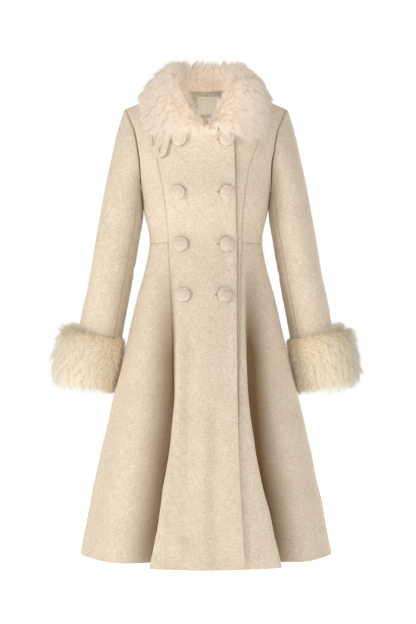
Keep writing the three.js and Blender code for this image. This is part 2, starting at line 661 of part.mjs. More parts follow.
// One section of the collar at a turn from 0, the centre front, to 1, the centre back, on the left (1) or right (-1).
function collarSection(turn, side) {
  const onBack = turn > 0.5;
  const [neckX, neckZ] = onBack ? neckBack((turn - 0.5) * 2) : neckFront(1 - turn * 2);
  const edge = [collar.edgeX(turn), Math.min(collar.edgeZ(turn), shoulderZ(collar.edgeX(turn)))];
  const end = COLLAR_FRONT_GAP * (1 - smoothstep(turn, 0, 0.05));
  const riseOver = (x) =>
    COLLAR_RISES.reduce((most, rise) => {
      const away = Math.abs(x - rise.x);
      return Math.max(most, rise.height * (1 - smoothstep(away, rise.halfWidth * 0.7, rise.halfWidth * 1.7)));
    }, 0);
  const placeAt = (share) => {
    const x = side * Math.max(lerp(neckX, edge[0], share), end);
    return surfaceAt(x, lerp(neckZ, edge[1], share), onBack);
  };
  const on = (share, height, rising = 1) => {
    const { p, n } = placeAt(share);
    return p.addScaledVector(n, height + (onBack ? 0 : rising * riseOver(p.x) * smoothstep(share, 0.2, 0.6)));
  };
  const loft = collar.loft(turn);
  const roll = collar.roll(turn);
  const crest = new THREE.Vector3(side * collar.crestX(turn), collar.crestY(turn), collar.crestZ(turn));
  const neck = on(0, 0);
  const tip = on(1, 0);
  const rise = crest.clone().sub(neck).normalize();
  const fall = tip.clone().sub(neck).normalize();
  const outwards = placeAt(0.55).n;
  const puffed = (share, height) => crest.clone().lerp(tip, share).addScaledVector(outwards, height * loft);
  const beyond = fall.clone().multiplyScalar(0.3 * loft);
  const seat = COLLAR_SEAT + (onBack ? 0 : (CLOTH + LAYER_GAP) * (1 - smoothstep(turn, 0.3, 0.5)));
  const over = [
    on(0.06, seat),
    neck.clone().lerp(crest, 0.45).addScaledVector(fall, -0.25 * roll).addScaledVector(rise, 2),
    crest.clone().addScaledVector(fall, -0.8 * roll),
    crest.clone().addScaledVector(fall, -0.25 * roll).addScaledVector(rise, 0.75 * roll),
    crest.clone().addScaledVector(fall, 0.6 * roll).addScaledVector(rise, 0.75 * roll),
    puffed(0.3, 0.8),
    puffed(0.58, 0.95),
    on(0.87, 0.98 * loft, 0.5),
    on(1, 0.55 * loft, 0.8).add(beyond),
    on(0.97, seat),
  ];
  const curve = new THREE.CatmullRomCurve3(over, false, "centripetal");
  return [...along(COLLAR_TOP_POINTS - 1, (t) => curve.getPoint(t)), ...COLLAR_UNDER_SHARES.map((share) => on(share, seat))];
}

// The collar as one closed body: sections from the right front end round the neck to the left front end.
function collarGeometry() {
  const half = along(COLLAR_STATIONS, (t) => t + COLLAR_CROWDING * Math.sin(2 * Math.PI * t));
  const turns = [...half.map((t) => [t, -1]), ...half.slice(0, -1).reverse().map((t) => [t, 1])];
  const sections = turns.map(([turn, side]) => collarSection(turn, side));
  const count = sections.length;
  const width = sections[0].length;
  const positions = sections.flat().flatMap((p) => [p.x, p.y, p.z]);
  const faces = [];
  for (let i = 0; i < count - 1; i++) {
    for (let j = 0; j < width; j++) {
      const a = i * width + j;
      const b = i * width + ((j + 1) % width);
      faces.push(a, b + width, b, a, a + width, b + width);
    }
  }
  const caps = [0, count - 1].map((i) => {
    const middle = sections[i].reduce((sum, p) => sum.add(p), new THREE.Vector3()).divideScalar(width);
    positions.push(middle.x, middle.y, middle.z);
    return positions.length / 3 - 1;
  });
  for (let j = 0; j < width; j++) {
    const next = (j + 1) % width;
    faces.push(caps[0], j, next);
    faces.push(caps[1], (count - 1) * width + next, (count - 1) * width + j);
  }
  const geometry = new THREE.BufferGeometry();
  geometry.setAttribute("position", new THREE.BufferAttribute(new Float32Array(positions), 3));
  geometry.setIndex(faces);
  return geometry;
}
addPart("fur_collar", collarGeometry(), COLOUR.collar, 1);

// Covered buttons on the right front's outer layer, turned to face out of the cloth.
function addButton(name, x, z) {
  const chest = z > ARMPIT_Z;
  const at = (dx, dz) => (chest ? upperPoint(x + dx, z + dz, false) : lowerPoint(angleAt(x + dx, z + dz), z + dz));
  const normal = at(2, 0).sub(at(-2, 0)).cross(at(0, 2).sub(at(0, -2))).normalize();
  const profile = BUTTON_PROFILE.map(({ radius, height }) => new THREE.Vector2(radius, height));
  const button = addPart(name, new THREE.LatheGeometry(profile, BUTTON_SIDES), COLOUR.button, 0.9);
  button.quaternion.setFromUnitVectors(new THREE.Vector3(0, 1, 0), normal);
  button.position.copy(onCloth(at(0, 0), normal).addScaledVector(normal, SEAT));
}
BUTTONS.forEach(({ z, rightX, leftX }, i) => {
  addButton(`right_button_${i + 1}`, rightX, z);
  addButton(`left_button_${i + 1}`, leftX, z);
});

// A flat piece laid on the cloth: a grid of [x, z] places with a thickness, whose last row lies on the cloth.
// Towards its first row it is lifted off by endLift. The piece is outside on the chest or inside on the back.
function laidOn(places, thickness, inside = false, endLift = 0) {
  const away = inside ? -1 : 1;
  const layer = (height) =>
    places.map((row, i) =>
      row.map(([x, z]) => {
        const { p, n } = surfaceAt(x, z, inside);
        const lift = endLift * (1 - i / (places.length - 1)) ** 0.7;
        return onCloth(p, n, inside).addScaledVector(n, away * (SEAT + lift + height));
      }),
    );
  return inside ? [layer(0), layer(thickness)] : [layer(thickness), layer(0)];
}

// The throat tab: a strap with a round end, from under the collar, with its free end a little off the chest.
function addThroatTab() {
  const run = new THREE.Vector2(TAB.endX - TAB.topX, TAB.endZ - TAB.topZ);
  const length = run.length();
  const forwards = run.clone().normalize();
  const sideways = new THREE.Vector2(-forwards.y, forwards.x);
  const ROWS = 9;
  const places = along(ROWS, (t) => {
    const down = length * Math.sin(degToRad(90 * t)) ** 0.9;
    const intoEnd = clamp((down - (length - TAB.halfWidth)) / TAB.halfWidth, 0, 0.96);
    const half = TAB.halfWidth * Math.sqrt(1 - intoEnd ** 2);
    return along(6, (u) => {
      const across = lerp(half, -half, u);
      return [TAB.topX + forwards.x * down + sideways.x * across, TAB.topZ + forwards.y * down + sideways.y * across];
    });
  }).reverse();
  const [outer, inner] = laidOn(places, TAB.thickness, false, TAB.endLift);
  addPart("throat_tab", wallGeometry(outer, inner, -1), COLOUR.wool);
}
addThroatTab();

// A bare label on the inside of the back, below the neck seam.
function addLabel(name, { x, z, width, height, thickness }) {
  const places = along(4, (v) => along(6, (u) => [x + (u - 0.5) * width, z + (v - 0.5) * height]));
  const [outer, inner] = laidOn(places, thickness, true);
  addPart(name, wallGeometry(outer, inner, -1), COLOUR.label);
}
addLabel("neck_label", LABEL);
addLabel("size_tab", SIZE_TAB);

export default coat;
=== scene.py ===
"""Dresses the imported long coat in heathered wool, covered buttons and long fur, in a small white studio.

The coat's shape is worked out in millimetres from the tables below, and becomes metres when a mesh is made.
Right and left are the wearer's: the right side is at -X, the front faces -Y, and the origin is at the nape.
"""
import math

import bpy
import numpy as np
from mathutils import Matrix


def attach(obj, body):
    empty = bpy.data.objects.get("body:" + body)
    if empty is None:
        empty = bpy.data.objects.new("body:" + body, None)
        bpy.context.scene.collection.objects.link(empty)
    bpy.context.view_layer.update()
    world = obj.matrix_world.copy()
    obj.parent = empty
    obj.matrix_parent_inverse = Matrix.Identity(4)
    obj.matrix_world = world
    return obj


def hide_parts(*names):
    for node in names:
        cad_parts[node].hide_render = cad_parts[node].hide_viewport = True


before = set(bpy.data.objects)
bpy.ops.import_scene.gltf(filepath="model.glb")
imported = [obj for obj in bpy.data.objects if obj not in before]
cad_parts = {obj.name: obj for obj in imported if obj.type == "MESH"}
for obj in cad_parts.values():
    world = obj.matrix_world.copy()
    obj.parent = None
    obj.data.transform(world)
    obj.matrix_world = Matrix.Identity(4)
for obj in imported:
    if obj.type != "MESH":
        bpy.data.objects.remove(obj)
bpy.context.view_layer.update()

bl_info = {
    "name": "Long Wool Coat",
    "version": (1, 0, 0),
    "blender": (4, 5, 0),
    "location": "View3D > Sidebar > Coat",
    "description": "Dresses the packed coat in wool, fur and covered buttons, and lights it",
    "category": "Add Mesh",
}

MM = 0.001

# Driving dimensions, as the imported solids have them
CLOTH = 2.4
SEAM_GAP = 0.3
LAYER_GAP = 1.4  # between the two overlapping fronts
SEAT = 0.3  # between the cloth and what is sewn on it
SHOULDER_HALF = 189.0
SHOULDER_TIP_Z = -50.0
SHOULDER_SLOPE = 0.4
RIDGE_Y = 4.0
ROUND_FRONT = 150.0
ROUND_BACK = 120.0
ROUND_POWER = 1.7
NECK_HALF = 70.0
NECK_FRONT_Z = -95.0
NECK_BACK_Z = 0.0
OVERLAP_TOP_Z = -97.0
PRINCESS_TOP_X = 135.0
TOP_EDGE = 160.0  # length of a centre panel's top edge, from the princess seam over the shoulder and neck
FRONT_CORNER = 3 / 12  # share of that edge that lies on the shoulder line
BACK_CORNER = 3 / 8
FRONT_NECK_END = 0.75  # share of it at which the front's neckline reaches the centre, and the overlap begins
ARMPIT_Z = -250.0
WAIST_Z = -368.0
HEM_Z = -1091.0
FOLD_TOP_Z = -400.0
EDGE_CURL = 3.2  # by which the free front edge stands off the layer under it
CORNER_RADIUS = 18.0
CORNER_REACH = 60.0  # height over which the cloth above the rounded corner gives way to it
EDGE_CURL_WIDTH = 16.0
EDGE_SHADE = 0.65  # painted shadow of the free edge on the layer under it, close beside it
EDGE_SHADE_WIDTH = 4.5
# Painted shade along the groove of each sewn seam, and how far it reaches
SEAM_SHADE = 0.12
SEAM_SHADE_WIDTH = 1.8
FOLD_SHADES = (1.0, 1.35)  # painted shade of the valley on the right of the flute, and of the one on its left
CAP_BEND = 1.4  # how much closer the sleeve head's rows lie near the armhole
RIPPLE = 0.22  # by which a stitched band swells and thins with each stitch

# Grid sizes: places across and up each kind of panel
EDGE_STEPS = np.array([0.0, 0.5, 1.2, 2.2, 3.6, 6.0])  # millimetres in from an edge, where its seam is shaped
SKIRT_ROWS = 88
BODICE_ROWS = 26
CHEST_ROWS = 40
SIDE_COLUMNS = 40
CENTRE_COLUMNS = 46
BACK_SIDE_COLUMNS = 34
BACK_CENTRE_COLUMNS = 30
UPPER_SLEEVE_COLUMNS = 52
UNDER_SLEEVE_COLUMNS = 32
CAP_ROWS = 26
ARM_ROWS = 56


def table(names, *rows):
    """One array for each named column of a short table."""
    return dict(zip(names.split(), np.array(rows, dtype=float).T))


# The body's section at each height: half width, depth of front and back, and how square it is
SECTIONS = table(
    "z half_width front back power",
    (-1091, 294, 186, 214, 2.1),
    (-1000, 278, 178, 197, 2.1),
    (-800, 234, 158, 163, 2.12),
    (-600, 186, 135, 127, 2.15),
    (-493, 161, 118, 106, 2.2),
    (-406, 138, 104, 90, 2.2),
    (-355, 132, 100, 83, 2.2),
    (-290, 146, 118, 90, 2.3),
    (-250, 150.5, 126, 96, 2.35),
    (-197, 161.5, 126, 101, 2.45),
    (-150, 177, 119, 103, 2.55),
    (-110, 192, 110, 100, 2.6),
    (-50, 206, 97, 92, 2.6),
    (30, 214, 90, 88, 2.6),
)

# Lines on the fronts as X at each height: princess seams, edges of the big flute, and the two front edges
FRONT_LINES = table(
    "z seam_right seam_left flute_right flute_left edge under_edge",
    (-1091, -112, 56, -125, 164, 72, -50),
    (-990, -104, 58, -109, 146, 69, -50),
    (-840, -92, 62, -88, 115, 65, -51),
    (-700, -85, 67, -67, 93, 64.5, -52),
    (-550, -82.5, 74, -64, 86, 66, -52),
    (-445, -84.5, 78, -66, 84, 68, -52),
    (-376, -86, 82, -66, 84, 68.5, -52),
    (-316, -90, 84, -66, 84, 67, -52),
    (-255, -97, 90, -66, 84, 65.5, -52),
    (-200, -107, 99, -66, 84, 64.5, -52),
    (-147, -118, 117, -66, 84, 63.5, -52),
    (-97, -127, 127, -66, 84, 63, -52),
    (-28.4, -135, 135, -66, 84, 63, -52),
)
BACK_LINES = table("z seam", (-1091, 122), (-700, 94), (-368, 66), (-250, 86), (-150, 110), (-28.4, 135))
ARMHOLE = table(
    "z front back",
    (-250, 150.5, 150.5),
    (-231, 151, 153.5),
    (-197, 152.5, 160),
    (-153, 157.5, 168),
    (-108, 166, 175),
    (-80, 177, 181),
    (-50, 189, 189),
)

# Folds of the skirt
FLUTE_HEIGHT = 34.0
FLUTE_ROLL = 7.0
FLUTE_INSET = 8.0  # by which its edges lie further in near the hem, where their roll leans out
FLUTE_TO_VALLEY = 17.0
FRONT_VALLEY_DEPTH = 52.0  # deeper than the solids', which leave it to the cloth
FRONT_VALLEY_INNER = 12.0
FRONT_VALLEY_OUTER = 36.0
VALLEYS = table(
    "angle depth width",
    (68, 5, 40),
    (-66, 6, 40),
    (112, 12, 34),
    (143, 25, 30),
    (171, 19, 26),
    (-158, 24, 28),
    (-134, 22, 30),
    (-110, 13, 34),
)

# Soft creases in the body's cloth, each a trough from one place to another
FRONT_CREASES = table(
    "x0 z0 x1 z1 width depth",
    (-152, -262, -112, -306, 10, 1.7),
    (-134, -350, -96, -374, 8, 1.3),
    (-124, -322, -100, -340, 7, 0.8),
    (137, -344, 98, -366, 8, 1.4),
    (150, -268, 114, -316, 10, 1.5),
    (-130, -390, -106, -452, 9, 1.3),
    (128, -392, 104, -440, 9, 1.4),
    (-8, -322, -4, -420, 17, 1.3),
    (34, -296, 40, -352, 12, 0.9),
    (-44, -410, -50, -520, 15, 1.2),
    (-158, -150, -134, -214, 11, 1.6),
    (161, -158, 137, -220, 11, 1.7),
    (-150, -520, -178, -700, 22, 2.0),
    (158, -560, 196, -760, 24, 2.2),
    (-28, -520, -48, -1010, 24, 9),
    (-62, -790, -80, -1070, 15, 3.5),
    (24, -700, 22, -1060, 22, 6),
    (-210, -800, -236, -1070, 24, 2.6),
    (214, -830, 246, -1080, 26, 2.8),
)
BACK_CREASES = table(
    "x0 z0 x1 z1 width depth",
    (-128, -206, -72, -296, 15, 2.1),
    (124, -212, 80, -306, 14, 1.9),
    (-40, -336, 34, -342, 10, 1.5),
    (-62, -356, 8, -362, 9, 1.2),
    (2, -376, 6, -452, 18, 1.5),
    (-104, -352, -72, -372, 8, 1.2),
    (106, -346, 78, -370, 8, 1.1),
    (-12, -120, 14, -128, 14, 1.0),
)

# The sleeve: X of its outer and inner side, Y of its middle and its half depth at each height
SLEEVE = table(
    "z outer inner middle_y half_depth",
    (-720, 331, 226, 26, 53),
    (-640, 315.5, 209.5, 19, 53),
    (-582, 304, 197.4, 14, 54),
    (-507, 287.4, 183.3, 8, 56),
    (-430, 270.7, 168.5, 4, 57),
    (-374, 261.8, 159.5, 3, 58),
    (-300, 248.8, 147.2, 2, 59),
    (-270, 243, 148.6, 2, 59.5),
    (-240, 237.2, 152.8, 2, 60),
)
BICEPS_Z = -270.0
BICEPS_TILT = 30.0
SLEEVE_END_Z = -700.0
SLEEVE_END_TILT = 10.6
ARMHOLE_GAP = 0.4
FRONT_SLEEVE_SEAM = 135.0  # degrees round the sleeve from its outer side, by way of the front
BACK_SLEEVE_SEAM = 247.5
SLEEVE_GIRTH = 0.94  # millimetres for each degree

# Creases of the sleeves, from one angle and height to another
LEFT_SLEEVE_CREASES = table(
    "angle0 z0 angle1 z1 width depth",
    (112, -398, 176, -418, 9, 2.4),
    (128, -432, 186, -440, 8, 1.7),
    (92, -360, 150, -378, 9, 1.3),
    (20, -232, 66, -300, 16, 1.7),
    (60, -470, 118, -520, 13, 1.5),
    (-20, -520, 34, -568, 14, 1.6),
    (232, -392, 292, -412, 11, 1.9),
    (262, -300, 312, -346, 14, 1.5),
    (176, -290, 214, -318, 9, 1.8),
)
RIGHT_SLEEVE_CREASES = table(
    "angle0 z0 angle1 z1 width depth",
    (104, -384, 170, -402, 9, 2.2),
    (136, -420, 190, -428, 8, 1.8),
    (84, -446, 132, -474, 11, 1.4),
    (12, -250, 58, -322, 17, 1.8),
    (36, -500, 96, -548, 14, 1.6),
    (-36, -430, 8, -486, 15, 1.4),
    (226, -404, 286, -420, 11, 2.0),
    (176, -286, 216, -312, 9, 1.7),
)

# A fur cuff: its section's points, as share of its length down the sleeve and share of the fur's reach
CUFF_TOP_Z = -573.0
CUFF_LENGTH = 134.0
CUFF_REACH = 28.5
CUFF_LEAN = 16.5
CUFF_SEAT = 0.8
CUFF_SECTION = table(
    "down reach",
    (0.06, 0),
    (0.0, 0.3),
    (0.03, 0.62),
    (0.13, 0.86),
    (0.34, 0.97),
    (0.6, 1.0),
    (0.82, 0.93),
    (0.95, 0.72),
    (1.0, 0.4),
    (0.985, 0.12),
    (0.93, 0),
    (0.5, 0),
)
CUFF_FURRED_POINTS = 10  # of the section, from its top edge to its bottom one
CUFF_STATIONS = 72  # round the sleeve
CUFF_SKIN_ROWS = 44
CUFF_FUR_ROWS = 30

# Half of the fur collar, from the centre front (0) over the shoulder seam (0.5) to the centre back (1)
COLLAR = table(
    "turn crest_x crest_y crest_z edge_x edge_z roll loft",
    (0.0, 11, -120, -97, 5, -119, 9, 16),
    (0.1, 26, -118, -84, 38, -128, 14, 24),
    (0.2, 41, -110, -60, 76, -135, 17, 28),
    (0.3, 56, -90, -27, 110, -131, 18, 30),
    (0.4, 69, -56, 11, 134, -98, 19, 31),
    (0.5, 77, -2, 41, 142, -34, 19, 31),
    (0.6, 76, 36, 51, 136, -74, 19, 30),
    (0.75, 57, 68, 57, 103, -103, 18, 28),
    (0.9, 22, 81, 60, 42, -115, 18, 28),
    (1.0, 0, 83, 60, 0, -116, 18, 28),
)
COLLAR_SEAT = 3.0
COLLAR_FRONT_GAP = 1.5
COLLAR_RISES = table("x half_width height", (-80, 44, 11.5), (45.5, 30, 11.5))
COLLAR_STATIONS = 60  # on each side
COLLAR_OVER_POINTS = 34
COLLAR_UNDER_SHARES = (0.8, 0.6, 0.4, 0.2)

# Covered buttons: the height and X of each pair
BUTTONS = table(
    "z right_x left_x",
    (-139, -59, 45.5),
    (-256, -61, 45.8),
    (-373, -54.5, 45.3),
    (-489, -48.5, 40),
)
BUTTON_PROFILE = table(
    "radius height",
    (0, 0.3),
    (4, 0.3),
    (4.3, 2.4),
    (11.5, 2.3),
    (14.2, 2.9),
    (15.7, 4.3),
    (16.0, 5.7),
    (15.5, 7.1),
    (14.5, 8.0),
    (13.6, 8.25),
    (12.8, 8.3),
    (10.5, 9.3),
    (7.5, 10.2),
    (4, 10.7),
    (0, 10.9),
)
BUTTON_RIM = 15.2  # radius of the rolled rim's crest
BUTTON_GROOVE = 12.9  # radius of the groove between the rolled rim and the crown
BUTTON_UNDERSIDE = 4.5  # height under which the cover is gathered, and painted with shade
BUTTON_CROWN_SHADE = 0.1  # painted shade on the crown, so that the rolled rim round it looks brighter
BUTTON_UNDER_SHADE = 0.6
BUTTONHOLE_LENGTH = 22.0
BUTTONHOLE_START = 21.5  # from the button's centre to the hole's visible end

# Throat tab and labels
TAB_TOP = np.array([-86.0, -108.0])
TAB_END = np.array([-106.0, -178.0])
TAB_HALF_WIDTH = 16.0
TAB_THICKNESS = 4.4
TAB_END_LIFT = 5.0
LABEL_CENTRE, LABEL_SIZE = (5.0, -31.0), (54.0, 40.0)
SIZE_TAB_CENTRE, SIZE_TAB_SIZE = (39.5, -27.0), (13.0, 18.0)
LABEL_THICKNESS = 0.8
LABEL_WAVE = 1.02  # how far the stitches' middle stands over the wavy label's back

WOOL_NAME = "Heathered wool melton"
YARN_MM = 1.9
YARN_STRETCH = 9  # how many times as long as it is thick a yarn shows before it dips under the next
BUTTON_SIDES = 48
BUTTON_RINGS = 36
HAIR_ROUNDNESS = 0.6  # how much a hair's shading turns round its own thickness
HAIR_HEIGHTS = (0, 0, 0, 0.55, 0.55, 0.55, 1.0)  # of a hair's three root points, three middle ones and tip
# Corners of one hair's faces: its root end, three sides up to its middle, and three from there to its tip
HAIR_FACES = ((2, 1, 0), (0, 1, 4, 3), (1, 2, 5, 4), (2, 0, 3, 5), (3, 4, 6), (4, 5, 6), (5, 3, 6))
HAIR_TAPER = 0.72  # thickness at the middle, as a share of the root's
HAIR_DROOP = 0.08  # share of its length by which a tip hangs
HAIR_ROOT_DEPTH = 1.2
LOCK_MM = 11
LOCK_WANDER = 0.2
COLLAR_SEED = 11
CUFF_SEED = 31
COLLAR_HAIR_RADIUS = 0.4
CUFF_HAIR_RADIUS = 0.42

# The camera stands where the photograph was taken from
CAMERA_PLACE = (0.0047, -3.0, -0.527)
CAMERA_LENS = 73.65
CAMERA_SENSOR = 36.0
FLOOR_Z = -1.32

# The studio in metres: each soft light's place, aim, width, name of its power's setting, and colour
SOFT_LIGHTS = (
    ("Key light", (-3.0, -2.1, 0.4), (0, 0, -0.5), 0.8, "key_power", "#FFFBF5"),
    ("Front light", (1.8, -3.6, -0.9), (0, 0, -0.8), 1.2, "front_power", "#FFF9F2"),
    ("Top light", (0.6, -1.2, 2.4), (0, 0, -0.5), 1.6, "top_power", "#FFFFFF"),
    ("Back light", (1.4, 3.3, 0.9), (0, 0, -0.5), 2.0, "back_power", "#FFFFFF"),
)
NECK_LIGHT_LINE = ((0.0, -3.3, 0.3), (0.0, 0.09, -0.03))
NECK_LIGHT_ANGLE = math.radians(4.6)
NECK_LIGHT_RADIUS = 0.12


# Shapes


def curve(columns, name):
    """A smooth curve through one column of a table, as a function of its first column, which ascends.

    On each span it is the straight line plus a cubic bend that meets the slopes at both ends.
    """
    keys = next(iter(columns.values()))
    values = columns[name]
    before = np.maximum(np.arange(len(keys)) - 1, 0)
    after = np.minimum(np.arange(len(keys)) + 1, len(keys) - 1)
    slopes = (values[after] - values[before]) / (keys[after] - keys[before])

    def at(key):
        key = np.clip(key, keys[0], keys[-1])
        i = np.clip(np.searchsorted(keys, key) - 1, 0, len(keys) - 2)
        step = keys[i + 1] - keys[i]
        t = (key - keys[i]) / step
        rise = values[i + 1] - values[i]
        bend_before = slopes[i] * step - rise
        bend_after = rise - slopes[i + 1] * step
        return values[i] + t * rise + t * (1 - t) * ((1 - t) * bend_before + t * bend_after)

    return at


def curves(columns):
    """A smooth curve for each column of a table, by its name."""
    return {name: curve(columns, name) for name in columns}


BODY = curves(SECTIONS)
FRONT = curves(FRONT_LINES)
BACK_SEAM = curve(BACK_LINES, "seam")
ARM_LINE = curves(ARMHOLE)
ARM = curves(SLEEVE)
FUR_COLLAR = curves(COLLAR)


def smoothstep(value, low, high):
    """0 before low and 1 after high, and 3t^2 - 2t^3 between; low may be the larger one."""
    t = np.clip((value - low) / (high - low), 0, 1)
    return t * t * (3 - 2 * t)


def unit(vectors):
    """Vectors divided by their own length."""
    return vectors / np.maximum(np.linalg.norm(vectors, axis=-1, keepdims=True), 1e-9)


def shoulder_z(x):
    """Height of the shoulder line, which falls evenly from the neck to the shoulder's tip on each side."""
    return SHOULDER_TIP_Z + (SHOULDER_HALF - np.abs(x)) * SHOULDER_SLOPE


def angle_at(x, z, on_back=False):
    """Section angle at X: 0 is the centre front, 90 the left side and 180 the centre back."""
    share = np.clip(np.abs(x) / BODY["half_width"](z), 0, 1) ** (BODY["power"](z) / 2)
    angle = np.degrees(np.arcsin(share))
    return np.where(np.asarray(x) < 0, -1, 1) * (180 - angle if on_back else angle)


def skirt_folds(angle, z):
    """How far the skirt's folds move a point out of the plain section, and how much painted shade it gets in
    them.

    One flute is raised at the front, and its edges roll over as hyperbolic tangents. Bell-shaped valleys lie
    beside it and round the back. All of them deepen downwards.
    """
    down = np.clip((FOLD_TOP_Z - z) / (FOLD_TOP_Z - HEM_Z), 0, None)
    degrees = np.degrees(2 / (BODY["half_width"](z) + BODY["front"](z)))
    inset = FLUTE_INSET * degrees * smoothstep(down, 0.4, 0.7)
    right = angle_at(FRONT["flute_right"](z), z) + inset
    left = angle_at(FRONT["flute_left"](z), z) - inset
    roll = FLUTE_ROLL * degrees
    plateau = (np.tanh((angle - right) / roll) - np.tanh((angle - left) / roll)) / 2

    def valley(centre, before, after):
        away = angle - centre
        away = away - 360 * np.round(away / 360)
        width = np.where(away < 0, before, after) * degrees
        return down * np.exp(-((away / width) ** 2))

    shift = FLUTE_TO_VALLEY * degrees
    right_valley = valley(right - shift, FRONT_VALLEY_OUTER, FRONT_VALLEY_INNER)
    left_valley = valley(left + shift, FRONT_VALLEY_INNER, FRONT_VALLEY_OUTER)
    height = FLUTE_HEIGHT * down**1.2 * plateau - FRONT_VALLEY_DEPTH * (right_valley + left_valley)
    # Painted shade in the valleys beside the flute, and a lighter one in those round the back
    shade = (FOLD_SHADES[0] * right_valley + FOLD_SHADES[1] * left_valley) * (1 - np.clip(plateau, 0, 1))
    shade = shade * np.minimum(3, 1 / np.maximum(down, 0.001))
    for centre, depth, width in zip(*VALLEYS.values()):
        height = height - depth * valley(centre, width, width)
        shade = shade + depth / 70 * valley(centre, width, width)
    return height, shade


def lower_point(angle, z):
    """A point of the body below the armpits: a superellipse at each height, moved in or out by the folds."""
    power = 2 / BODY["power"](z)
    s, c = np.sin(np.radians(angle)), np.cos(np.radians(angle))
    depth = np.where(c > 0, BODY["front"](z), BODY["back"](z))
    x = BODY["half_width"](z) * np.sign(s) * np.abs(s) ** power
    y = -depth * np.sign(c) * np.abs(c) ** power
    grow = 1 + skirt_folds(angle, z)[0] / np.hypot(x, y)
    return np.stack([x * grow, y * grow, z + 0 * x], axis=-1)


def upper_point(x, z, on_back):
    """A point of the chest or upper back: the section's depth, rounded over towards the shoulder line."""
    power = BODY["power"](z)
    across = np.clip(np.abs(x) / BODY["half_width"](z), 0, 1)
    depth = BODY["back"](z) if on_back else -BODY["front"](z)
    full = depth * (1 - across**power) ** (1 / power)
    below = np.clip((shoulder_z(x) - z) / (ROUND_BACK if on_back else ROUND_FRONT), 0, 1)
    rounding = (1 - (1 - below) ** ROUND_POWER) ** (1 / ROUND_POWER)
    return np.stack([x + 0 * z, RIDGE_Y + (full - RIDGE_Y) * rounding, z + 0 * x], axis=-1)


def spaced(length, count):
    """Places from 0 to each length: at the edge steps by both ends, and even between."""
    length = np.asarray(length, dtype=float)[..., None]
    even = np.linspace(0, 1, count - 2 * len(EDGE_STEPS) + 2)[1:-1]
    middle = EDGE_STEPS[-1] + (length - 2 * EDGE_STEPS[-1]) * even
    return np.concatenate([EDGE_STEPS + 0 * length, middle, length - EDGE_STEPS[::-1]], axis=-1)


def share_out(start, end, z, count):
    """Angles from start to end at each height, spaced by the section's length plus a share of its turning."""
    fine, turn_worth = 160, 28.0
    t = np.linspace(0, 1, fine + 1)
    angles = start[:, None] + (end - start)[:, None] * t
    steps = np.diff(lower_point(angles, z[:, None]), axis=1)
    lengths = np.linalg.norm(steps, axis=-1)
    headings = unit(steps)
    turning = np.arccos(np.clip(np.sum(headings[:, 1:] * headings[:, :-1], axis=-1), -1, 1))
    lengths[:, 1:] += turn_worth * turning
    sums = np.concatenate([np.zeros((len(z), 1)), np.cumsum(lengths, axis=1)], axis=1)
    goals = spaced(sums[:, -1], count)
    after = np.clip((sums[:, None, :] < goals[:, :, None]).sum(axis=-1), 1, fine)
    low = np.take_along_axis(sums, after - 1, axis=1)
    high = np.take_along_axis(sums, after, axis=1)
    share = (after - 1 + np.clip((goals - low) / (high - low), 0, 1)) / fine
    return start[:, None] + (end - start)[:, None] * share, goals / sums[:, -1:]


def rise_at(v):
    """Share of the height that a chest row reaches: half a cosine wave, so rows are close at both ends."""
    return (1 - np.cos(np.pi * v)) / 2


def line_to_shoulder(x_at):
    """A line up the body from the armpits to the shoulder line, at the X that x_at gives for each height.

    Its top lies on the sloping shoulder line, so X and height depend on each other, and repeating finds both.
    """
    start = float(x_at(ARMPIT_Z))
    full = shoulder_z(start) - ARMPIT_Z

    def at(v):
        drop = full * (1 - rise_at(v))
        x = start + 0 * drop
        for _ in range(12):
            x = x_at(shoulder_z(x) - drop)
        return np.stack([x, shoulder_z(x) - drop], axis=-1)

    return at


def patch(bottom, top, start, end, u, v):
    """[x, z] places between a bottom and a top row, drawn to the lines at its start and end in proportion."""
    blend = bottom + (top - bottom) * rise_at(v)[:, None, None]
    from_start = (1 - u)[None, :, None] * (start(v)[:, None, :] - blend[:, :1])
    from_end = u[None, :, None] * (end(v)[:, None, :] - blend[:, -1:])
    return blend + from_start + from_end


def neck_front(t):
    """X and Z of the front neckline: a quarter of an ellipse, from the shoulder to the centre front."""
    turn = np.radians(90 * (1 - t))
    rise = shoulder_z(NECK_HALF) - NECK_FRONT_Z
    return NECK_HALF * np.sin(turn), NECK_FRONT_Z + rise * (1 - np.cos(turn))


def neck_back(t):
    """X and Z of the back neckline: a parabola, from the shoulder to the nape."""
    x = NECK_HALF * np.cos(np.radians(90 * t))
    return x, NECK_BACK_Z + (shoulder_z(NECK_HALF) - NECK_BACK_Z) * (x / NECK_HALF) ** 2


def on_shoulder(start, end, t):
    """[x, z] places along the shoulder line, between two distances from the centre."""
    x = start + (end - start) * t
    return np.stack([x, shoulder_z(x)], axis=-1)


def row_heights():
    """Heights of the rows below the armpits, close together at the hem and at the waist seam."""
    skirt = HEM_Z + spaced(WAIST_Z - HEM_Z, SKIRT_ROWS)
    over_waist = np.linspace(EDGE_STEPS[-1], ARMPIT_Z - WAIST_Z, BODICE_ROWS)
    return np.concatenate([skirt, WAIST_Z + EDGE_STEPS[1:-1], WAIST_Z + over_waist])


ROWS = row_heights()
WAIST_ROW = SKIRT_ROWS - 1
CHEST_STEPS = np.linspace(0, 1, CHEST_ROWS + 1)[1:]


